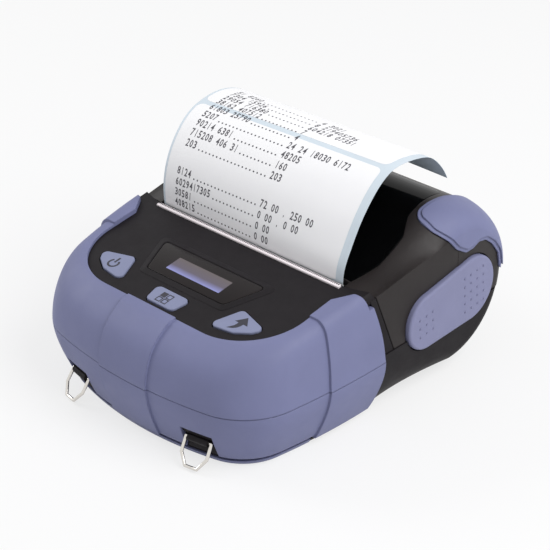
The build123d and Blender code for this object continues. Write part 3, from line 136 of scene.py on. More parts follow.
class PrinterColours(bpy.types.PropertyGroup):
    """Colours of the printer's finishes."""

    rubber: colour("Rubber", "Moulded rubber of the bumpers", (0.168, 0.180, 0.318))
    pad: colour("Pads", "Rubber of the release pads", (0.205, 0.212, 0.345))
    key: colour("Keys", "Rubber of the three keys", (0.215, 0.235, 0.36))
    casing: colour("Casing", "Matte plastic of the panel and the base", (0.0085, 0.0068, 0.0085))
    shoulder: colour("Shoulder", "Matte plastic of the lid's shoulders", (0.016, 0.0125, 0.0125))
    gloss: colour("Dark window", "Polished plastic over the roll", (0.0012, 0.0012, 0.0014))
    cover: colour("Display cover", "Polished plastic over the display", (0.0125, 0.0095, 0.0100))
    label: colour("Label", "Coated face of the labels", (0.88, 0.88, 0.90))
    liner: colour("Liner", "Liner that carries the labels", (0.60, 0.68, 0.75))
    ink: colour("Print", "Heat-darkened print", (0.055, 0.052, 0.065))
    # The tear bar's pale pink colour is painted reflection of a steel bar.
    bar: colour("Tear bar", "Toothed bar at the slot", (0.86, 0.79, 0.82))
    icon: colour("Key signs", "Signs on the keys", (0.018, 0.018, 0.03))


class PrinterSizes(bpy.types.PropertyGroup):
    """Sizes of the pieces made here."""

    paper_width: length("Paper width", "Width of the liner", 80 * MM)
    paper_thickness: length("Paper thickness", "Thickness of the liner", 0.11 * MM)
    left_margin: length("Left margin", "Bare liner on the left of a label", 0.9 * MM)
    right_margin: length("Right margin", "Bare liner on the right of a label", 3.0 * MM)
    label_gap: length("Label gap", "Bare liner between two labels", 2.0 * MM)
    first_label: length("First label", "Length of the first label that shows", 39.2 * MM)
    label_corner: length("Label corner", "Corner radius of a label", 2.2 * MM)
    character_pitch: length("Character pitch", "Spacing of printed characters", 1.58 * MM)
    character_height: length("Character height", "Height of printed characters", 2.7 * MM)
    frame_rise: length("Display rise", "How far the display cover stands proud", 0.55 * MM)
    tooth_pitch: length("Tooth pitch", "Spacing of the tear bar's teeth", 0.75 * MM)
    nub_pitch: length("Nub pitch", "Spacing of the nubs on the side pads", 3.3 * MM)
    nub_radius: length("Nub radius", "Radius of a nub", 0.5 * MM)


class PrinterStage(bpy.types.PropertyGroup):
    """Camera and light."""

    azimuth: FloatProperty(name="Azimuth", description="Camera's turn round the printer",
                           default=math.radians(43.107), subtype="ANGLE", unit="ROTATION")
    elevation: FloatProperty(name="Elevation", description="Camera's height above the horizon",
                             default=math.radians(29.816), subtype="ANGLE", unit="ROTATION")
    distance: length("Distance", "Camera's distance", 551.13 * MM)
    lens: FloatProperty(name="Lens", description="Focal length in millimetres", default=107.95)
    key_light: FloatProperty(name="Overhead light", description="Power of the overhead light",
                             default=6.6, subtype="POWER", unit="POWER")
    fill_light: FloatProperty(name="Fill light", description="Power of the light from the left",
                              default=3.0, subtype="POWER", unit="POWER")
    surround: FloatProperty(name="Surround", description="Strength of the white surround",
                            default=0.5)


# Shader groups and materials

def put(tree, kind, inputs=None, **settings):
    """Adds a node, sets its properties and its inputs' values."""
    node = tree.nodes.new(kind)
    for name, value in settings.items():
        setattr(node, name, value)
    for name, value in (inputs or {}).items():
        node.inputs[name].default_value = value
    return node


def wire(tree, *links):
    """Links nodes, each link given as (node, output, node, input)."""
    for source, output, target, socket in links:
        tree.links.new(source.outputs[output], target.inputs[socket])


def group_sockets(tree, inputs, outputs):
    """Makes a group's sockets; inputs carry their defaults."""
    for name, default in inputs:
        kind = "NodeSocketFloat" if isinstance(default, (int, float)) else "NodeSocketColor"
        socket = tree.interface.new_socket(name, in_out="INPUT", socket_type=kind)
        socket.default_value = default
    for name, kind in outputs:
        tree.interface.new_socket(name, in_out="OUTPUT", socket_type=kind)
    return tree.nodes.new("NodeGroupInput"), tree.nodes.new("NodeGroupOutput")


def surface_group():
    """Moulded surface: fine grain, slow mottling and handling marks, on Object coordinates."""
    tree = bpy.data.node_groups.new("Moulded surface", "ShaderNodeTree")
    given, out = group_sockets(
        tree, [("Grain per metre", 2600.0), ("Mottle per metre", 45.0)],
        [(name, "NodeSocketFloat") for name in ("Height", "Mottle", "Marks")])
    place = put(tree, "ShaderNodeTexCoord")
    grain = put(tree, "ShaderNodeTexNoise", {"Detail": 2.0, "Roughness": 0.6})
    mottle = put(tree, "ShaderNodeTexNoise", {"Detail": 4.0, "Roughness": 0.55})
    marks = put(tree, "ShaderNodeTexNoise", {"Scale": 160.0, "Detail": 5.0, "Roughness": 0.7})
    wire(tree, *[(place, "Object", texture, "Vector") for texture in (grain, mottle, marks)],
         (given, "Grain per metre", grain, "Scale"), (given, "Mottle per metre", mottle, "Scale"),
         (grain, "Fac", out, "Height"), (mottle, "Fac", out, "Mottle"),
         (marks, "Fac", out, "Marks"))
    return tree


def edge_group():
    """Rounded edges: a normal that rounds sharp edges, and a broken mask of the rubbed edge."""
    tree = bpy.data.node_groups.new("Rounded edges", "ShaderNodeTree")
    given, out = group_sockets(tree, [("Radius", 0.0004), ("Amount", 0.5)],
                               [("Normal", "NodeSocketVector"), ("Rub", "NodeSocketFloat")])
    bevel = put(tree, "ShaderNodeBevel", samples=4)
    face = put(tree, "ShaderNodeNewGeometry")
    dot = put(tree, "ShaderNodeVectorMath", operation="DOT_PRODUCT")
    turn = put(tree, "ShaderNodeMapRange", {"From Min": 0.995, "From Max": 0.85})
    place = put(tree, "ShaderNodeTexCoord")
    noise = put(tree, "ShaderNodeTexNoise", {"Scale": 420.0, "Detail": 3.0})
    broken = put(tree, "ShaderNodeMapRange", {"From Min": 0.4, "From Max": 0.62})
    mask = put(tree, "ShaderNodeMath", operation="MULTIPLY")
    amount = put(tree, "ShaderNodeMath", operation="MULTIPLY")
    wire(tree, (given, "Radius", bevel, "Radius"), (bevel, "Normal", dot, 0),
         (face, "Normal", dot, 1), (dot, "Value", turn, "Value"),
         (place, "Object", noise, "Vector"), (noise, "Fac", broken, "Value"),
         (turn, "Result", mask, 0), (broken, "Result", mask, 1), (mask, "Value", amount, 0),
         (given, "Amount", amount, 1), (bevel, "Normal", out, "Normal"),
         (amount, "Value", out, "Rub"))
    return tree


GROUPS = {}
MATERIALS = {}


def group(tree, key, **values):
    """Places a shared group in a material with its own values."""
    if key not in GROUPS:
        GROUPS[key] = {"surface": surface_group, "edges": edge_group}[key]()
    node = tree.nodes.new("ShaderNodeGroup")
    node.node_tree = GROUPS[key]
    for name, value in values.items():
        node.inputs[name.replace("_", " ")].default_value = value
    return node


def blank(name, **sockets):
    """A new material with a Principled shader; returns its tree and shader."""
    material = bpy.data.materials.new(name)
    material.use_nodes = True
    tree = material.node_tree
    tree.nodes.clear()
    out = tree.nodes.new("ShaderNodeOutputMaterial")
    shader = tree.nodes.new("ShaderNodeBsdfPrincipled")
    tree.links.new(shader.outputs["BSDF"], out.inputs["Surface"])
    for socket, value in sockets.items():
        shader.inputs[socket.replace("_", " ")].default_value = value
    MATERIALS[name] = material
    return tree, shader


def shade(tone, factor):
    """A colour made lighter or darker, as four numbers."""
    return tuple(min(1.0, c * factor) for c in tone[:3]) + (1.0,)


def roughen(tree, source, output, shader, rough):
    """Runs the roughness between two values by a mask."""
    node = put(tree, "ShaderNodeMapRange", {"From Min": 0.3, "From Max": 0.7, "To Min": rough[0],
                                            "To Max": rough[1]})
    wire(tree, (source, output, node, "Value"), (node, "Result", shader, "Roughness"))


def moulded(name, tone, rough=(0.5, 0.65), grain=2600.0, depth=0.00001, mottle=0.08,
            round_edge=0.0003, rub=0.25, rub_tone=1.5, **sockets):
    """Plastic, rubber or coated paper: mottled, with uneven gloss, grain and rubbed edges."""
    tree, shader = blank(name, **sockets)
    surface = group(tree, "surface", Grain_per_metre=grain)
    edges = group(tree, "edges", Radius=round_edge, Amount=rub)
    wide = put(tree, "ShaderNodeMapRange", {"From Min": 0.3, "From Max": 0.7})
    tint = put(tree, "ShaderNodeMix", data_type="RGBA")
    tint.inputs["A"].default_value = shade(tone, 1.0 - mottle)
    tint.inputs["B"].default_value = shade(tone, 1.0 + mottle)
    worn = put(tree, "ShaderNodeMix", data_type="RGBA")
    worn.inputs["B"].default_value = shade(tone, rub_tone)
    roughen(tree, surface, "Marks", shader, rough)
    bump = put(tree, "ShaderNodeBump", {"Distance": depth})
    wire(tree, (surface, "Mottle", wide, "Value"), (wide, "Result", tint, "Factor"),
         (edges, "Rub", worn, "Factor"), (tint, "Result", worn, "A"),
         (worn, "Result", shader, "Base Color"), (surface, "Height", bump, "Height"),
         (edges, "Normal", bump, "Normal"), (bump, "Normal", shader, "Normal"))


def metal(name, tone, rough=(0.15, 0.3), brushed=0.0, depth=0.000004):
    """Plated, brushed or drawn metal."""
    tree, shader = blank(name, Metallic=1.0)
    place = put(tree, "ShaderNodeTexCoord")
    stretch = put(tree, "ShaderNodeMapping", {"Scale": (1.0, 1.0 - 0.9 * brushed, 1.0)})
    grain = put(tree, "ShaderNodeTexNoise", {"Scale": 2200.0, "Detail": 3.0})
    surface = group(tree, "surface", Grain_per_metre=900.0)
    tint = put(tree, "ShaderNodeMix", data_type="RGBA")
    tint.inputs["A"].default_value = shade(tone, 0.88)
    tint.inputs["B"].default_value = shade(tone, 1.06)
    roughen(tree, grain, "Fac", shader, rough)
    bump = put(tree, "ShaderNodeBump", {"Distance": depth})
    wire(tree, (place, "Object", stretch, "Vector"), (stretch, "Vector", grain, "Vector"),
         (surface, "Mottle", tint, "Factor"), (tint, "Result", shader, "Base Color"),
         (grain, "Fac", bump, "Height"), (bump, "Normal", shader, "Normal"))


# Colours of the display from its front edge to its rear edge, as (share, colour).
# These colours also feed its emission: painted glow, bluish and strongest along the front edge.
DISPLAY_TONES_AND_PAINTED_GLOW = [(0.0, (0.20, 0.21, 0.42)), (0.14, (0.165, 0.165, 0.31)),
                 (0.4, (0.10, 0.088, 0.115)), (1.0, (0.105, 0.090, 0.092))]


def display_glass_painted_glow(name, front_y, rear_y):
    """Unlit liquid crystal: grey-mauve, with a painted glow that is cold and strongest at its front
    edge.
    """
    tree, shader = blank(name, Roughness=0.2, Specular_IOR_Level=0.12, Emission_Strength=0.35)
    place = put(tree, "ShaderNodeTexCoord")
    parts = put(tree, "ShaderNodeSeparateXYZ")
    along = put(tree, "ShaderNodeMapRange", {"From Min": front_y, "From Max": rear_y})
    noise = put(tree, "ShaderNodeTexNoise", {"Scale": 120.0, "Detail": 1.0})
    wobble = put(tree, "ShaderNodeMath", {1: 0.12}, operation="MULTIPLY_ADD")
    shift = put(tree, "ShaderNodeMath", {1: 0.06}, operation="SUBTRACT")
    ramp = put(tree, "ShaderNodeValToRGB")
    for position, _ in DISPLAY_TONES_AND_PAINTED_GLOW[1:-1]:
        ramp.color_ramp.elements.new(position)
    for element, (position, tone) in zip(ramp.color_ramp.elements, DISPLAY_TONES_AND_PAINTED_GLOW):
        element.position = position
        element.color = (*tone, 1.0)
    wire(tree, (place, "Object", parts, "Vector"), (parts, "Y", along, "Value"),
         (place, "Object", noise, "Vector"), (noise, "Fac", wobble, 0),
         (along, "Result", wobble, 2), (wobble, "Value", shift, 0), (shift, "Value", ramp, "Fac"),
         (ramp, "Color", shader, "Base Color"), (ramp, "Color", shader, "Emission Color"))


def make_materials(colours):
    """Every finish of the printer, by name."""
    c = colours
    moulded("rubber", c.rubber, (0.5, 0.62), 1900.0, 0.000012, 0.05, 0.0006, 0.4, 1.3,
            Specular_IOR_Level=0.3)
    moulded("pad_rubber", c.pad, (0.48, 0.6), 1900.0, 0.000012, 0.05, 0.0006, 0.4, 1.25,
            Specular_IOR_Level=0.3)
    moulded("key_rubber", c.key, (0.42, 0.55), 1900.0, 0.000008, 0.04, 0.0004, 0.35, 1.25,
            Specular_IOR_Level=0.25)
    moulded("casing_plastic", c.casing, (0.5, 0.62), 2600.0, 0.000014, 0.12, 0.0003, 0.25, 2.2,
            Specular_IOR_Level=0.16)
    moulded("shoulder_plastic", c.shoulder, (0.36, 0.48), 2600.0, 0.00001, 0.12, 0.0005, 0.3, 2.0,
            Specular_IOR_Level=0.22)
    moulded("dark_window", c.gloss, (0.05, 0.09), 300.0, 0.000001, 0.2, 0.0004, 0.0, 1.0,
            Specular_IOR_Level=0.04)
    moulded("display_cover", c.cover, (0.14, 0.22), 300.0, 0.000001, 0.12, 0.0003, 0.0, 1.0,
            Specular_IOR_Level=0.14)
    moulded("label_face", c.label, (0.5, 0.6), 3200.0, 0.000004, 0.015, 0.0001, 0.0, 1.0)
    moulded("liner_face", c.liner, (0.4, 0.5), 3200.0, 0.000004, 0.03, 0.0001, 0.0, 1.0)
    moulded("print_ink", c.ink, (0.5, 0.7), 3000.0, 0.000002, 0.25, 0.0001, 0.0, 1.0)
    # The tear bar's finish: its pale pink colour is painted reflection.
    moulded("tear_bar_painted_reflection", c.bar, (0.3, 0.42), 2400.0, 0.000004, 0.04, 0.0002, 0.3, 1.2)
    moulded("key_sign", c.icon, (0.45, 0.6), 2400.0, 0.000003, 0.12, 0.0001, 0.0, 1.0)
    moulded("board_mask", (0.016, 0.11, 0.045), (0.25, 0.4), 900.0, 0.000008, 0.15)
    moulded("chip_resin", (0.03, 0.03, 0.033), (0.4, 0.6), 1800.0, 0.000012, 0.12)
    moulded("gear_resin", (0.66, 0.64, 0.58), (0.32, 0.45), 1500.0, 0.000006, 0.04)
    moulded("platen_rubber", (0.03, 0.03, 0.034), (0.6, 0.75), 2600.0, 0.000016, 0.1)
    moulded("foot_rubber", (0.035, 0.035, 0.04), (0.65, 0.8), 1800.0, 0.00002, 0.12)
    moulded("roll_paper", (0.76, 0.77, 0.78), (0.55, 0.68), 3000.0, 0.000012, 0.03)
    moulded("card_tube", (0.36, 0.25, 0.15), (0.7, 0.85), 1400.0, 0.00002, 0.14)
    metal("ring_nickel", (0.70, 0.67, 0.63), (0.12, 0.26))
    metal("drawn_steel", (0.55, 0.55, 0.56), (0.2, 0.36), 0.8)
    metal("zinc_sheet", (0.5, 0.51, 0.54), (0.3, 0.5), 0.0, 0.00001)
    metal("satin_aluminium", (0.68, 0.68, 0.70), (0.3, 0.45), 0.8)
    metal("plain_brass", (0.62, 0.46, 0.20), (0.2, 0.35))
    display_glass_painted_glow("display_glass_painted_glow", PANE_FRONT, PANE_REAR)


# The finish of each slot, for the nodes that stay as they are.
SLOT_FINISH = {
    "casing": "casing_plastic", "shoulder": "shoulder_plastic", "bumper": "rubber",
    "key": "key_rubber", "gloss_black": "dark_window", "display_cover": "display_cover",
    "display": "display_glass_painted_glow", "board": "board_mask", "electronic": "chip_resin",
    "nickel": "ring_nickel", "steel": "drawn_steel", "sheet_steel": "zinc_sheet",
    "aluminium": "satin_aluminium", "gear": "gear_resin", "platen": "platen_rubber",
    "foot": "foot_rubber", "paper": "roll_paper", "card": "card_tube", "brass": "plain_brass",
    "tear_edge": "tear_bar_painted_reflection",
}


# Mesh helpers

# Angles in degrees above which an edge stays sharp: copies of CAD nodes, bent or gathered pieces,
# pieces built in layers and the display's frame.
SHARP_COPY, SHARP_BENT, SHARP_LAYERS, SHARP_FRAME = 32, 40, 35, 28


def piece_of(name, mesh, finish):
    """An object at the origin that shows a mesh in one finish."""
    piece = bpy.data.objects.new(name, mesh)
    bpy.context.scene.collection.objects.link(piece)
    mesh.materials.clear()
    mesh.materials.append(MATERIALS[finish])
    return piece


def mesh_of(name, work):
    """Turns a bmesh into a mesh and frees it."""
    mesh = bpy.data.meshes.new(name)
    work.to_mesh(mesh)
    work.free()
    return mesh


def shaded(mesh, angle):
    """A mesh shaded smooth but for edges sharper than an angle in degrees."""
    mesh.shade_smooth()
    mesh.set_sharp_from_angle(angle=math.radians(angle))
    return mesh


def baked(holder):
    """The evaluated mesh of an object, which is then removed."""
    bpy.context.scene.collection.objects.link(holder)
    graph = bpy.context.evaluated_depsgraph_get()
    mesh = bpy.data.meshes.new_from_object(holder.evaluated_get(graph), depsgraph=graph)
    bpy.data.objects.remove(holder)
    return mesh


def settle(piece, body, slot=None, *nodes):
    """Rides a finished piece on its body and hides the nodes it stands for; the slot is not used.
    """
    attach(piece, body)
    if nodes:
        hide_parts(*nodes)
    return piece


def smooth_copy(node, body, slot, finish):
    """A merged copy of a CAD node, shaded smooth between its real edges."""
    name = node + "_skin"
    work = bmesh.new()
    work.from_mesh(frame["nodes"][node].data)
    bmesh.ops.remove_doubles(work, verts=work.verts, dist=2e-6)
    bmesh.ops.dissolve_degenerate(work, edges=work.edges, dist=1e-7)
    mesh = mesh_of(name, work)
    if "custom_normal" in mesh.attributes:
        mesh.attributes.remove(mesh.attributes["custom_normal"])
    piece = piece_of(name, shaded(mesh, SHARP_COPY), finish)
    weighted = piece.modifiers.new("Even shading", "WEIGHTED_NORMAL")
    weighted.keep_sharp = True
    weighted.weight = 60
    return settle(piece, body, slot, node)


def panel_point(x, y, rise):
    """A point over the sloping panel: x, plan y and a height square to the panel."""
    z = PANEL_LINE[1] + math.tan(PANEL_TILT) * (y - PANEL_LINE[0])
    return Vector((x, y - math.sin(PANEL_TILT) * rise, z + math.cos(PANEL_TILT) * rise))


def rounded(points, radius, steps=5):
    """A closed outline with its corners rounded."""
    result = []
    count = len(points)
    for i in range(count):
        corner = Vector(points[i])
        before = (Vector(points[i - 1]) - corner).normalized()
        after = (Vector(points[(i + 1) % count]) - corner).normalized()
        half = before.angle(after) / 2
        reach = radius / math.tan(half)
        start, end = corner + before * reach, corner + after * reach
        for k in range(steps + 1):
            t = k / steps
            result.append(start * (1 - t) ** 2 + corner * 2 * t * (1 - t) + end * t ** 2)
    return result


def grown(points, amount):
    """A closed outline (anticlockwise) moved outwards."""
    result = []
    count = len(points)
    for i in range(count):
        a, b, c = (Vector(points[j % count]) for j in (i - 1, i, i + 1))
        first, second = (b - a).normalized(), (c - b).normalized()
        normal = Vector((first.y + second.y, -first.x - second.x)).normalized()
        share = normal.dot(Vector((first.y, -first.x)))
        result.append(b + normal * amount / share)
    return result


def band(work, low, high):
    """Faces between two closed rings of equal point count."""
    for i in range(len(low)):
        j = (i + 1) % len(low)
        work.faces.new((low[i], low[j], high[j], high[i]))


def layered(name, layers, finish, sharp=SHARP_LAYERS, ring=False):
    """A closed body, or a ring, through outlines of equal point count, as (points, place)."""
    work = bmesh.new()
    rings = [[work.verts.new(place(p)) for p in points] for points, place in layers]
    for low, high in zip(rings, rings[1:]):
        band(work, low, high)
    if ring:
        band(work, rings[-1], rings[0])
    else:
        work.faces.new(rings[0][::-1])
        work.faces.new(rings[-1])
    bmesh.ops.recalc_face_normals(work, faces=work.faces)
    return piece_of(name, shaded(mesh_of(name, work), sharp), finish)


def on_panel(rise):
    """A placing function for plan points at a height above the panel."""
    return lambda p: panel_point(p[0], p[1], rise)


# Geometry nodes for what repeats

# Inputs of the tree of repeated solids: name, kind and default.
REPEAT_INPUTS = (
    ("Columns", "NodeSocketInt", 4), ("Rows", "NodeSocketInt", 4),
    ("Column pitch", "NodeSocketFloat", 0.002), ("Row pitch", "NodeSocketFloat", 0.002),
    ("Size", "NodeSocketFloat", 0.0004), ("Height", "NodeSocketFloat", 0.0002),
    ("Sides", "NodeSocketInt", 8), ("Tip", "NodeSocketFloat", 0.5),
    ("Finish", "NodeSocketMaterial", None))


def repeat_tree(name):
    """A grid of small solids, each a prism or a cut pyramid; returns tree and input sockets."""
    tree = bpy.data.node_groups.new(name, "GeometryNodeTree")
    sockets = {}
    for label, kind, value in REPEAT_INPUTS:
        socket = tree.interface.new_socket(label, in_out="INPUT", socket_type=kind)
        if value is not None:
            socket.default_value = value
        sockets[label] = socket.identifier
    tree.interface.new_socket("Geometry", in_out="OUTPUT", socket_type="NodeSocketGeometry")
    given, out = tree.nodes.new("NodeGroupInput"), tree.nodes.new("NodeGroupOutput")

    def steps(count, pitch, axis):
        """Points in a line at a pitch."""
        line = put(tree, "GeometryNodeMeshLine", mode="OFFSET")
        vector = put(tree, "ShaderNodeCombineXYZ")
        wire(tree, (given, count, line, "Count"), (given, pitch, vector, axis),
             (vector, "Vector", line, "Offset"))
        return line

    across, along = steps("Rows", "Row pitch", "Y"), steps("Columns", "Column pitch", "X")
    lattice = put(tree, "GeometryNodeInstanceOnPoints")
    loose = put(tree, "GeometryNodeRealizeInstances")
    solid = put(tree, "GeometryNodeMeshCone", {"Side Segments": 2})
    tip = put(tree, "ShaderNodeMath", operation="MULTIPLY")
    placed = put(tree, "GeometryNodeInstanceOnPoints")
    real = put(tree, "GeometryNodeRealizeInstances")
    finish = put(tree, "GeometryNodeSetMaterial")
    wire(tree, (across, "Mesh", lattice, "Points"), (along, "Mesh", lattice, "Instance"),
         (lattice, "Instances", loose, "Geometry"), (given, "Sides", solid, "Vertices"),
         (given, "Size", solid, "Radius Bottom"), (given, "Size", tip, 0), (given, "Tip", tip, 1),
         (tip, "Value", solid, "Radius Top"), (given, "Height", solid, "Depth"),
         (loose, "Geometry", placed, "Points"), (solid, "Mesh", placed, "Instance"),
         (placed, "Instances", real, "Geometry"), (real, "Geometry", finish, "Geometry"),
         (given, "Finish", finish, "Material"), (finish, "Geometry", out, "Geometry"))
    return tree, sockets


REPEATS = {}


def repeated(finish, **values):
    """A plain mesh of repeated solids; values are the tree's inputs."""
    if not REPEATS:
        REPEATS["tree"], REPEATS["sockets"] = repeat_tree("Repeated solids")
    base = bpy.data.meshes.new("repeat_base")
    holder = bpy.data.objects.new("repeat_base", base)
    modifier = holder.modifiers.new("Repeat", "NODES")
    modifier.node_group = REPEATS["tree"]
    for label, value in values.items():
        modifier[REPEATS["sockets"][label.replace("_", " ")]] = value
    modifier[REPEATS["sockets"]["Finish"]] = MATERIALS[finish]
    mesh = baked(holder)
    bpy.data.meshes.remove(base)
    return mesh


def gathered(name, parts, finish):
    """Joins (mesh, matrix) pairs into one piece."""
    work = bmesh.new()
    for mesh, matrix in parts:
        copy = mesh.copy()
        copy.transform(matrix)
        if matrix.determinant() < 0:
            copy.flip_normals()
        work.from_mesh(copy)
        bpy.data.meshes.remove(copy)
    return piece_of(name, shaded(mesh_of(name, work), SHARP_BENT), finish)


# The paper and its print

class PaperCurve:
    """The paper's two edges, measured along their length, with straight lines between them."""

    def __init__(self, half, spacing=0.6 * MM):
        self.half = half
        edges = [self.smoothed(points) for points in (PAPER_LEFT, PAPER_RIGHT)]
        lengths = [np.r_[0, np.cumsum(np.hypot(*np.diff(edge, axis=0).T))] for edge in edges]
        self.length = float(min(run[-1] for run in lengths))
        self.runs = np.linspace(0, self.length, int(self.length / spacing) + 1)
        self.edges = []
        for edge, run in zip(edges, lengths):
            y, z = (np.interp(self.runs, run, edge[:, k]) for k in (0, 1))
            slope_y, slope_z = np.gradient(y, self.runs), np.gradient(z, self.runs)
            size = np.hypot(slope_y, slope_z)
            self.edges.append((y, z, -slope_z / size, slope_y / size))

    def smoothed(self, points):
        """A dense, smoothed line through an edge's points."""
        points = np.array(points) * MM
        padded = np.vstack([2 * points[0] - points[1], points, 2 * points[-1] - points[-2]])
        dense = []
        for a, b, c, d in zip(padded, padded[1:], padded[2:], padded[3:]):
            for t in np.linspace(0, 1, 30, endpoint=False):
                dense.append(0.5 * (2 * b + (c - a) * t + (2 * a - 5 * b + 4 * c - d) * t ** 2
                                    + (3 * b - a - 3 * c + d) * t ** 3))
        dense = np.array(dense + [points[-1]])
        for _ in range(400):
            dense[1:-1] = 0.25 * dense[:-2] + 0.5 * dense[1:-1] + 0.25 * dense[2:]
        return dense

    def at(self, x, run, rise):
        """The point at x across and run along the paper, rise above its outer face."""
        share = 0.5 + 0.5 * x / self.half
        y, z, out_y, out_z = (
            float((1 - share) * np.interp(run, self.runs, left)
                  + share * np.interp(run, self.runs, right))
            for left, right in zip(*self.edges))
        return Vector((x, y + out_y * rise, z + out_z * rise))


def curved_slab(name, curve, outline_rows, low, high, finish):
    """A thin sheet on the paper's curve from rows of (run, left x, right x)."""
    work = bmesh.new()
    across = 8
    sheets = []
    for rise in (low, high):
        sheet = []
        for run, left, right in outline_rows:
            sheet.append([work.verts.new(curve.at(left + (right - left) * k / across, run, rise))
                          for k in range(across + 1)])
        sheets.append(sheet)
    bottom, top = sheets
    for i in range(len(outline_rows) - 1):
        for k in range(across):
            work.faces.new((top[i][k], top[i][k + 1], top[i + 1][k + 1], top[i + 1][k]))
            work.faces.new((bottom[i][k], bottom[i + 1][k], bottom[i + 1][k + 1],
                            bottom[i][k + 1]))
        for k, order in ((0, 1), (across, -1)):
            side = (bottom[i][k], top[i][k], top[i + 1][k], bottom[i + 1][k])
            work.faces.new(side[::order])
    for i, order in ((0, 1), (len(outline_rows) - 1, -1)):
        for k in range(across):
            end = (bottom[i][k], bottom[i][k + 1], top[i][k + 1], top[i][k])
            work.faces.new(end[::order])
    bmesh.ops.recalc_face_normals(work, faces=work.faces)
    return piece_of(name, shaded(mesh_of(name, work), SHARP_BENT), finish)


def label_rows(start, end, half, radius, step=0.7 * MM):
    """Rows of a rectangle with rounded corners, as (run, left x, right x)."""
    turns = [math.pi / 2 * k / 6 for k in range(7)]
    straight = end - start - 2 * radius
    count = max(2, int(straight / step))
    rows = [(start + radius * (1 - math.cos(t)), radius * (1 - math.sin(t))) for t in turns]
    rows += [(start + radius + straight * k / count, 0.0) for k in range(1, count)]
    rows += [(end - radius * (1 - math.sin(t)), radius * (1 - math.cos(t))) for t in turns]
    return [(run, -half + inset, half - inset) for run, inset in rows]


# Rows of print: distance along the paper in millimetres, figures at the left margin and figures
# at the value column, with dots between them. The column is counted in characters.
PRINT_ROWS = [
    (1.9, "408215", "0 00"), (5.6, "30581", "0 00"), (9.3, "6029417305", "0 00 , 0 00"),
    (13.1, "8124", "72 00 , 250 00"), (22.8, "203", "203"), (26.6, "715208 406 31", "160"),
    (30.4, "90214 6381", "48205"), (34.1, "5207", "24 24 18030 6172"),
    (37.8, "61803 25790", "4"), (41.3, "38162 407512", "7"), (44.6, "29054 716380", "604218 07351"),
    (47.9, "7304 15926", "8 219405736"), (51.3, "51 8260", "4 3021")]
PRINT_LEFT = -34.4 * MM
VALUE_COLUMN = 23

# A character's width as a share of its pitch.
CHARACTER_SHARE = 0.78

# Size and place in a unit box of the figures that don't fill it.
FIGURE_FIT = {",": ((0.3, 0.3), (0.35, -0.12)), "1": ((0.2, 1.0), (0.4, 0.0))}

# Shares of its height at which a figure is cut so that it can follow the curve.
FIGURE_CUTS = (0.2, 0.4, 0.6, 0.8)


def glyphs(letters):
    """Flat meshes of the figures, each fitted to a unit box, as (points, faces)."""
    result = {}
    for letter in letters:
        text = bpy.data.curves.new("figure", "FONT")
        text.body = letter
        text.offset = 0.02
        text.resolution_u = 2
        mesh = baked(bpy.data.objects.new("figure", text))
        work = bmesh.new()
        work.from_mesh(mesh)
        heights = [v.co.y for v in work.verts]
        for share in FIGURE_CUTS:
            level = min(heights) + share * (max(heights) - min(heights))
            bmesh.ops.bisect_plane(work, geom=work.verts[:] + work.edges[:] + work.faces[:],
                                   plane_co=(0, level, 0), plane_no=(0, 1, 0))
        work.verts.index_update()
        points = np.array([v.co[:2] for v in work.verts])
        faces = [tuple(v.index for v in face.verts) for face in work.faces]
        work.free()
        bpy.data.curves.remove(text)
        bpy.data.meshes.remove(mesh)
        low, high = points.min(0), points.max(0)
        scale, shift = FIGURE_FIT.get(letter, ((1.0, 1.0), (0.0, 0.0)))
        result[letter] = ((points - low) / (high - low) * scale + shift, faces)
    return result


def printed(curve, sizes, rise):
    """All figures of the print as one thin mesh on the paper's curve."""
    shapes = glyphs("0123456789,")
    work = bmesh.new()
    pitch, height = sizes.character_pitch, sizes.character_height
    for run, left, right in PRINT_ROWS:
        for text, first in ((left, 0), (right, VALUE_COLUMN)):
            for i, letter in enumerate(text):
                if letter == " ":
                    continue
                points, faces = shapes[letter]
                x0 = PRINT_LEFT + (first + i) * pitch
                verts = [work.verts.new(curve.at(x0 + x * pitch * CHARACTER_SHARE,
                                                 run * MM + y * height, rise))
                         for x, y in points]
                for face in faces:
                    work.faces.new([verts[k] for k in face])
    return mesh_of("print_figures", work)


# Operators, one for each group of pieces and one for the stage

class PRINTER_OT_finishes(bpy.types.Operator):
    """Makes every finish and gives it to the CAD parts that stay"""

    bl_idname = "printer.finishes"
    bl_label = "Finishes of the CAD parts"

    def execute(self, context):
        make_materials(context.scene.printer_colours)
        slots = {part["node"]: part["material_slot"] for part in frame["record"]["subparts"]}
        for name, node in frame["nodes"].items():
            finish = SLOT_FINISH[slots[name]]
            node.data.materials.clear()
            node.data.materials.append(MATERIALS[finish])
        return {"FINISHED"}


# CAD nodes shown as smooth copies, each as (node, body, slot, finish).
SMOOTH_PARTS = {
    "casing": [("base_casing", "base", "casing", "casing_plastic"),
               ("front_cover", "base", "casing", "casing_plastic"),
               ("lid_shell", "lid", "shoulder", "shoulder_plastic"),
               ("lid_window", "lid", "gloss_black", "dark_window")],
    "bumpers": [("base_bumper", "base", "bumper", "rubber"),
                ("front_bumper", "base", "bumper", "rubber"),
                ("port_cover", "flap", "bumper", "rubber"),
                ("left_corner_bumper", "lid", "bumper", "rubber"),
                ("right_corner_bumper", "lid", "bumper", "rubber")],
    "pads": [("left_release_pad", "left_pad", "bumper", "pad_rubber"),
             ("right_release_pad", "right_pad", "bumper", "pad_rubber")],
    "keys": [("power_key", "power", "key", "key_rubber"), ("menu_key", "menu", "key", "key_rubber"),
             ("feed_key", "feed", "key", "key_rubber")],
    "rings": [("left_ring", "left_strap_ring", "nickel", "ring_nickel"),
              ("right_ring", "right_strap_ring", "nickel", "ring_nickel"),
              ("ring_brackets", "base", "casing", "casing_plastic")],
}


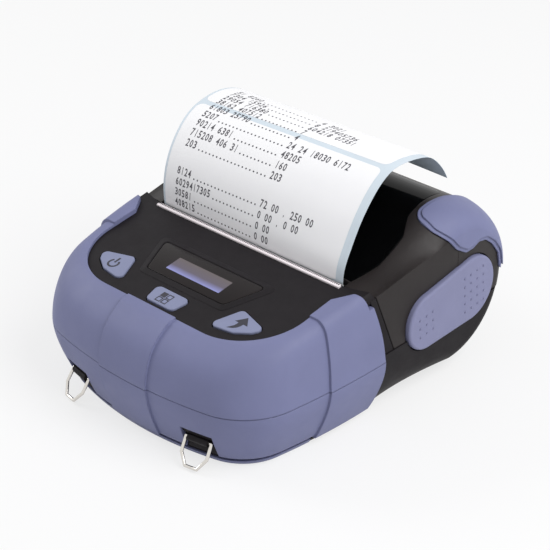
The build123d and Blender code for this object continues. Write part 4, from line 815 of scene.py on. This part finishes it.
def smooth_group(key):
    """Smooth copies of one group of CAD parts."""
    for node, body, slot, finish in SMOOTH_PARTS[key]:
        smooth_copy(node, body, slot, finish)


class PRINTER_OT_casing(bpy.types.Operator):
    """Smooth skins of the base, the panel, the lid and its dark window"""

    bl_idname = "printer.casing"
    bl_label = "Casing"

    def execute(self, context):
        smooth_group("casing")
        return {"FINISHED"}


class PRINTER_OT_bumpers(bpy.types.Operator):
    """Rubber bumpers and the flap over the sockets"""

    bl_idname = "printer.bumpers"
    bl_label = "Bumpers"

    def execute(self, context):
        smooth_group("bumpers")
        return {"FINISHED"}


class PRINTER_OT_pads(bpy.types.Operator):
    """Release pads with their two fields of nubs"""

    bl_idname = "printer.pads"
    bl_label = "Release pads"

    def execute(self, context):
        smooth_group("pads")
        sizes = context.scene.printer_sizes
        for side, name in enumerate(("left", "right")):
            face_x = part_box(name + "_release_pad")[side].x
            way = 2 * side - 1
            parts = []
            for (y, z), columns, rows, turn in NUB_FIELDS:
                nubs = repeated("pad_rubber", Columns=columns, Rows=rows,
                                Column_pitch=sizes.nub_pitch, Row_pitch=sizes.nub_pitch,
                                Size=sizes.nub_radius, Height=NUB_HEIGHT, Sides=8, Tip=0.55)
                place = Matrix.Translation((face_x - way * SINK, y * MM, z * MM))
                axes = Matrix(((0, 0, way, 0), (1, 0, 0, 0), (0, 1, 0, 0), (0, 0, 0, 1)))
                middle = Matrix.Translation((-(columns - 1) * sizes.nub_pitch / 2,
                                             -(rows - 1) * sizes.nub_pitch / 2, 0))
                turned = Matrix.Rotation(math.radians(turn), 4, "Z")
                parts.append((nubs, place @ axes @ turned @ middle))
            piece = gathered(name + "_pad_nubs", parts, "pad_rubber")
            settle(piece, name + "_pad", "bumper")
        return {"FINISHED"}


def flat_sign(name, loops, body):
    """Thin shapes on a key, each as (outer points, inner points or None) in millimetres."""
    centre = SIGN_PLACES[body]
    work = bmesh.new()
    for outer, inner in loops:
        rings = []
        for rise in (KEY_RISE - SINK, KEY_RISE + SIGN_RISE):
            rings.append([[work.verts.new(panel_point(centre[0] * MM + p[0] * MM,
                                                      centre[1] * MM + p[1] * MM, rise))
                           for p in loop] for loop in (outer, inner) if loop])
        for low, high in zip(*rings):
            band(work, low, high)
        for level in rings:
            if inner:
                band(work, *level)
            else:
                work.faces.new(level[0])
    bmesh.ops.recalc_face_normals(work, faces=work.faces)
    piece = piece_of(name, mesh_of(name, work), "key_sign")
    return settle(piece, body)


def square(x, y, half):
    """The corners of a square."""
    return [(x - half, y - half), (x + half, y - half), (x + half, y + half), (x - half, y + half)]


def power_sign():
    """A broken ring and the stroke in its gap."""
    gap = math.radians(38)
    turns = [math.pi / 2 + gap + (2 * math.pi - 2 * gap) * k / 28 for k in range(29)]
    outer = [(2.15 * math.cos(t), 2.15 * math.sin(t)) for t in turns]
    inner = [(1.45 * math.cos(t), 1.45 * math.sin(t)) for t in turns[::-1]]
    stroke = [(-0.36, 0.4), (0.36, 0.4), (0.36, 3.1), (-0.36, 3.1)]
    return [(outer + inner, None), (stroke, None)]


def menu_sign():
    """Four squares, one of them filled."""
    loops = [(square(-1.25, 1.15, 1.1), None)]
    for x, y in ((1.25, 1.15), (-1.25, -1.25), (1.25, -1.25)):
        loops.append((square(x, y, 1.1), square(x, y, 0.72)))
    return loops


def feed_sign():
    """An arrow with a curved, tapering tail."""
    tail_right = [(1.35, 0.2), (1.25, -0.6), (0.85, -1.5), (0.0, -2.3), (-1.5, -2.9)]
    tail_left = [(-0.8, -1.9), (-0.35, -1.2), (-0.2, -0.5), (-0.2, 0.2)]
    head = [(-1.4, 0.2), (0.6, 2.8), (2.7, 0.2)]
    points = tail_left + head + tail_right
    return [([(1.25 * x, 1.25 * y) for x, y in points], None)]


class PRINTER_OT_keys(bpy.types.Operator):
    """The three keys and their signs"""

    bl_idname = "printer.keys"
    bl_label = "Keys"

    def execute(self, context):
        smooth_group("keys")
        flat_sign("power_sign", power_sign(), "power")
        flat_sign("menu_sign", menu_sign(), "menu")
        flat_sign("feed_sign", feed_sign(), "feed")
        return {"FINISHED"}


class PRINTER_OT_display(bpy.types.Operator):
    """The display's raised cover with its sloping frame, and the glass in it"""

    bl_idname = "printer.display"
    bl_label = "Display"

    def execute(self, context):
        rise = context.scene.printer_sizes.frame_rise
        base = [(-COVER_FRONT_HALF, COVER_FRONT), (COVER_FRONT_HALF, COVER_FRONT),
                (COVER_REAR_HALF, COVER_REAR), (-COVER_REAR_HALF, COVER_REAR)]

        def levels(rows):
            """Layers from rows of growth and corner radius, in millimetres, and height."""
            return [(rounded(grown(base, growth * MM), radius * MM), on_panel(height))
                    for growth, radius, height in rows]

        cover = layered("display_cover_plate", levels([
            (-0.1, 1.8, -1.0 * MM), (-0.1, 1.8, rise - 0.12 * MM),
            (-0.2, 1.7, rise - 0.04 * MM), (-0.32, 1.6, rise)]), "display_cover")
        settle(cover, "base", "display_cover", "display_window")
        frame_piece = layered("display_frame", levels([
            (2.3, 2.6, -0.05 * MM), (2.3, 2.6, 0.06 * MM), (0.75, 2.2, rise - 0.02 * MM),
            (0.55, 2.1, rise + 0.03 * MM), (0.3, 2.0, rise + 0.02 * MM),
            (0.12, 1.9, rise - 0.1 * MM), (0.1, 1.9, -0.05 * MM)]),
            "casing_plastic", SHARP_FRAME, ring=True)
        settle(frame_piece, "base", "casing")
        glass = rounded([(-PANE_HALF, PANE_FRONT), (PANE_HALF, PANE_FRONT),
                         (PANE_HALF, PANE_REAR), (-PANE_HALF, PANE_REAR)], 0.15 * MM, 2)
        # The pane's finish carries painted glow.
        pane = layered("display_pane", [(glass, on_panel(rise - 0.05 * MM)),
                                        (glass, on_panel(rise + SINK))], "display_glass_painted_glow")
        settle(pane, "base", "display")
        return {"FINISHED"}


class PRINTER_OT_tear_bar(bpy.types.Operator):
    """The bar, pale with painted reflection, with its fine row of teeth and painted shade between
    them
    """

    bl_idname = "printer.tear_bar"
    bl_label = "Tear bar"

    def execute(self, context):
        sizes = context.scene.printer_sizes
        profile = [(BAR_FRONT, 0.0), (BAR_FRONT, 0.5), (BAR_FRONT + 0.15 * MM, 0.68),
                   (BAR_REAR - 0.1 * MM, 0.7), (BAR_REAR, 0.6), (BAR_REAR, 0.0)]
        work = bmesh.new()
        ends = [[work.verts.new(panel_point(x, y, z * MM)) for y, z in profile]
                for x in (-BAR_HALF, BAR_HALF)]
        band(work, *ends)
        work.faces.new(ends[0])
        work.faces.new(ends[1][::-1])
        bmesh.ops.recalc_face_normals(work, faces=work.faces)
        bar = mesh_of("tear_bar_body", work)
        pitch = sizes.tooth_pitch
        count = int(2 * BAR_HALF / pitch)
        teeth = repeated("tear_bar_painted_reflection", Columns=count, Rows=1, Column_pitch=pitch,
                         Size=0.36 * MM, Height=0.75 * MM, Sides=4, Tip=0.1)
        start = panel_point(-pitch * (count - 1) / 2, BAR_REAR - 0.05 * MM, 0.3 * MM)
        lean = Matrix.Rotation(PANEL_TILT - math.pi / 2, 4, "X")
        place = Matrix.Translation(start) @ lean
        piece = gathered("tear_bar_toothed", [(bar, Matrix()), (teeth, place)], "tear_bar_painted_reflection")
        bpy.data.meshes.remove(bar)
        settle(piece, "base", "tear_edge", "tear_bar")
        # Painted shade: thin dark marks on the bar's top between the teeth, for the shaded slot
        # seen through the gaps.
        marks = repeated("casing_plastic", Columns=count, Rows=1, Column_pitch=pitch,
                         Size=0.3 * MM, Height=0.05 * MM, Sides=4, Tip=1.0)
        start = panel_point(-pitch * (count - 0.5) / 2, BAR_REAR - 0.25 * MM, 0.68 * MM)
        place = Matrix.Translation(start) @ Matrix.Rotation(PANEL_TILT, 4, "X")
        settle(gathered("tear_bar_painted_gap_shade", [(marks, place)], "casing_plastic"), "base")
        return {"FINISHED"}


class PRINTER_OT_rings(bpy.types.Operator):
    """Strap rings and their brackets"""

    bl_idname = "printer.rings"
    bl_label = "Strap rings"

    def execute(self, context):
        smooth_group("rings")
        return {"FINISHED"}


class PRINTER_OT_paper(bpy.types.Operator):
    """The liner, its labels and their print, on one curve"""

    bl_idname = "printer.paper"
    bl_label = "Printed paper"

    def execute(self, context):
        sizes = context.scene.printer_sizes
        half = sizes.paper_width / 2
        curve = PaperCurve(half)
        thick = sizes.paper_thickness
        rows = [(run, -half, half) for run in curve.runs]
        liner = curved_slab("paper_liner", curve, rows, -thick / 2, thick / 2, "liner_face")
        settle(liner, "lid", "paper", "paper_strip")
        inner = half - (sizes.left_margin + sizes.right_margin) / 2
        shift = (sizes.left_margin - sizes.right_margin) / 2
        skin = thick / 2 + LABEL_RISE
        spans = {"first_label": (-sizes.label_corner, sizes.first_label),
                 "second_label": (sizes.first_label + sizes.label_gap,
                                  curve.length + sizes.label_corner)}
        for name, (start, end) in spans.items():
            outline = [(min(max(run, 0.2 * MM), curve.length - 0.2 * MM), left + shift,
                        right + shift)
                       for run, left, right in label_rows(start, end, inner, sizes.label_corner)]
            kept = [row for k, row in enumerate(outline)
                    if k == 0 or row[0] - outline[k - 1][0] > 1e-7]
            label = curved_slab(name, curve, kept, thick / 2 + 0.005 * MM, skin, "label_face")
            settle(label, "lid", "paper")
        figures = piece_of("print_figures", printed(curve, sizes, skin + PRINT_RISE), "print_ink")
        settle(figures, "lid")
        dots = self.leaders(curve, sizes, skin)
        settle(dots, "lid")
        return {"FINISHED"}

    def leaders(self, curve, sizes, rise):
        """Dotted leaders between the two columns of figures."""
        pitch = sizes.character_pitch
        work = bmesh.new()
        for run, left, _ in PRINT_ROWS:
            count = VALUE_COLUMN - len(left) - 1
            dots = repeated("print_ink", Columns=count, Rows=1, Column_pitch=pitch,
                            Size=0.33 * MM, Height=0.02 * MM, Sides=6, Tip=1.0)
            x0 = PRINT_LEFT + (len(left) + 0.8) * pitch
            for vertex in dots.vertices:
                vertex.co = curve.at(x0 + vertex.co.x, (run + 0.25) * MM + vertex.co.y,
                                     rise + vertex.co.z)
            work.from_mesh(dots)
            bpy.data.meshes.remove(dots)
        return piece_of("print_leaders", mesh_of("print_leaders", work), "print_ink")


class PRINTER_OT_stage(bpy.types.Operator):
    """Pale floor, soft light and the camera"""

    bl_idname = "printer.stage"
    bl_label = "Stage"

    def execute(self, context):
        stage = context.scene.printer_stage
        self.floor()
        self.surround(context.scene, stage.surround)
        self.lamp("overhead", stage.key_light)
        self.lamp("left", stage.fill_light)
        self.camera(context.scene, stage)
        context.scene.view_settings.view_transform = "Standard"
        return {"FINISHED"}

    def seen(self, tree):
        """A mask of the rays that show the plain white: camera, gloss and glass."""
        path = put(tree, "ShaderNodeLightPath")
        first = put(tree, "ShaderNodeMath", operation="MAXIMUM")
        both = put(tree, "ShaderNodeMath", operation="MAXIMUM")
        wire(tree, (path, "Is Camera Ray", first, 0), (path, "Is Glossy Ray", first, 1),
             (first, "Value", both, 0), (path, "Is Transmission Ray", both, 1))
        return both

    def floor(self):
        """A wide floor, part lit and part plain white."""
        work = bmesh.new()
        low = float(CAD_BOX[0].z)
        work.faces.new([work.verts.new((x, y, low)) for x, y in square(0, 0, FLOOR_HALF)])
        floor = bpy.data.objects.new("floor", mesh_of("floor", work))
        bpy.context.scene.collection.objects.link(floor)
        tree, shader = blank("white_floor", Roughness=0.9, Base_Color=FLOOR_TONE,
                             Specular_IOR_Level=0.1)
        glow = put(tree, "ShaderNodeEmission")
        share = put(tree, "ShaderNodeMath", {1: FLOOR_WHITE}, operation="MULTIPLY")
        mix = put(tree, "ShaderNodeMixShader")
        out = next(n for n in tree.nodes if n.type == "OUTPUT_MATERIAL")
        wire(tree, (self.seen(tree), "Value", share, 0), (share, "Value", mix, "Fac"),
             (shader, "BSDF", mix, 1), (glow, "Emission", mix, 2),
             (mix, "Shader", out, "Surface"))
        floor.data.materials.append(MATERIALS["white_floor"])

    def surround(self, scene, strength):
        """A surround that lights softly and shows plain white."""
        world = bpy.data.worlds.new("white_surround")
        world.use_nodes = True
        tree = world.node_tree
        tree.nodes.clear()
        out = tree.nodes.new("ShaderNodeOutputWorld")
        light = put(tree, "ShaderNodeBackground", {"Color": (1, 1, 1, 1), "Strength": strength})
        white = put(tree, "ShaderNodeBackground", {"Color": (1, 1, 1, 1), "Strength": 1.0})
        mix = put(tree, "ShaderNodeMixShader")
        wire(tree, (self.seen(tree), "Value", mix, "Fac"), (light, "Background", mix, 1),
             (white, "Background", mix, 2), (mix, "Shader", out, "Surface"))
        scene.world = world

    def lamp(self, name, power):
        """A round area lamp that points at the printer."""
        size, place = LAMPS[name]
        data = bpy.data.lights.new(name, "AREA")
        data.energy = power
        data.shape = "DISK"
        data.size = size
        lamp = bpy.data.objects.new(name, data)
        lamp.location = place
        aim = Vector(LAMP_TARGET) - Vector(place)
        lamp.rotation_euler = aim.to_track_quat("-Z", "Y").to_euler()
        bpy.context.scene.collection.objects.link(lamp)

    def camera(self, scene, stage):
        """The camera of the main view."""
        a, e = stage.azimuth, stage.elevation
        back = Vector((math.sin(a) * math.cos(e), -math.cos(a) * math.cos(e), math.sin(e)))
        target = Vector(CAMERA_TARGET)
        data = bpy.data.cameras.new("camera")
        data.lens = stage.lens
        data.sensor_width = 36.0
        data.clip_start, data.clip_end = 0.01, 50.0
        camera = bpy.data.objects.new("camera", data)
        camera.location = target + back * stage.distance
        camera.rotation_mode = "QUATERNION"
        camera.rotation_quaternion = (-back).to_track_quat("-Z", "Y")
        bpy.context.scene.collection.objects.link(camera)
        scene.camera = camera


OPERATORS = (PRINTER_OT_finishes, PRINTER_OT_casing, PRINTER_OT_bumpers, PRINTER_OT_pads,
             PRINTER_OT_keys, PRINTER_OT_display, PRINTER_OT_tear_bar, PRINTER_OT_rings,
             PRINTER_OT_paper, PRINTER_OT_stage)


class PRINTER_PT_panel(bpy.types.Panel):
    """Lists the printer's settings and pieces"""

    bl_idname = "PRINTER_PT_panel"
    bl_label = "Label printer"
    bl_space_type = "VIEW_3D"
    bl_region_type = "UI"
    bl_category = "Printer"

    def draw(self, context):
        layout = self.layout
        scene = context.scene
        for settings in (scene.printer_colours, scene.printer_sizes, scene.printer_stage):
            box = layout.box()
            for name in settings.__annotations__:
                box.prop(settings, name)
        for operator in OPERATORS:
            layout.operator(operator.bl_idname)


CLASSES = (PrinterColours, PrinterSizes, PrinterStage, *OPERATORS, PRINTER_PT_panel)


def register():
    """Adds the printer's settings, operators and panel."""
    for item in CLASSES:
        bpy.utils.register_class(item)
    bpy.types.Scene.printer_colours = PointerProperty(type=PrinterColours)
    bpy.types.Scene.printer_sizes = PointerProperty(type=PrinterSizes)
    bpy.types.Scene.printer_stage = PointerProperty(type=PrinterStage)


def unregister():
    """Takes them away again."""
    for name in ("printer_colours", "printer_sizes", "printer_stage"):
        delattr(bpy.types.Scene, name)
    for item in reversed(CLASSES):
        bpy.utils.unregister_class(item)


def main():
    """Dresses the frame."""
    register()
    for operator in OPERATORS:
        group_name, call = operator.bl_idname.split(".")
        getattr(getattr(bpy.ops, group_name), call)()


if __name__ == "__main__":
    main()
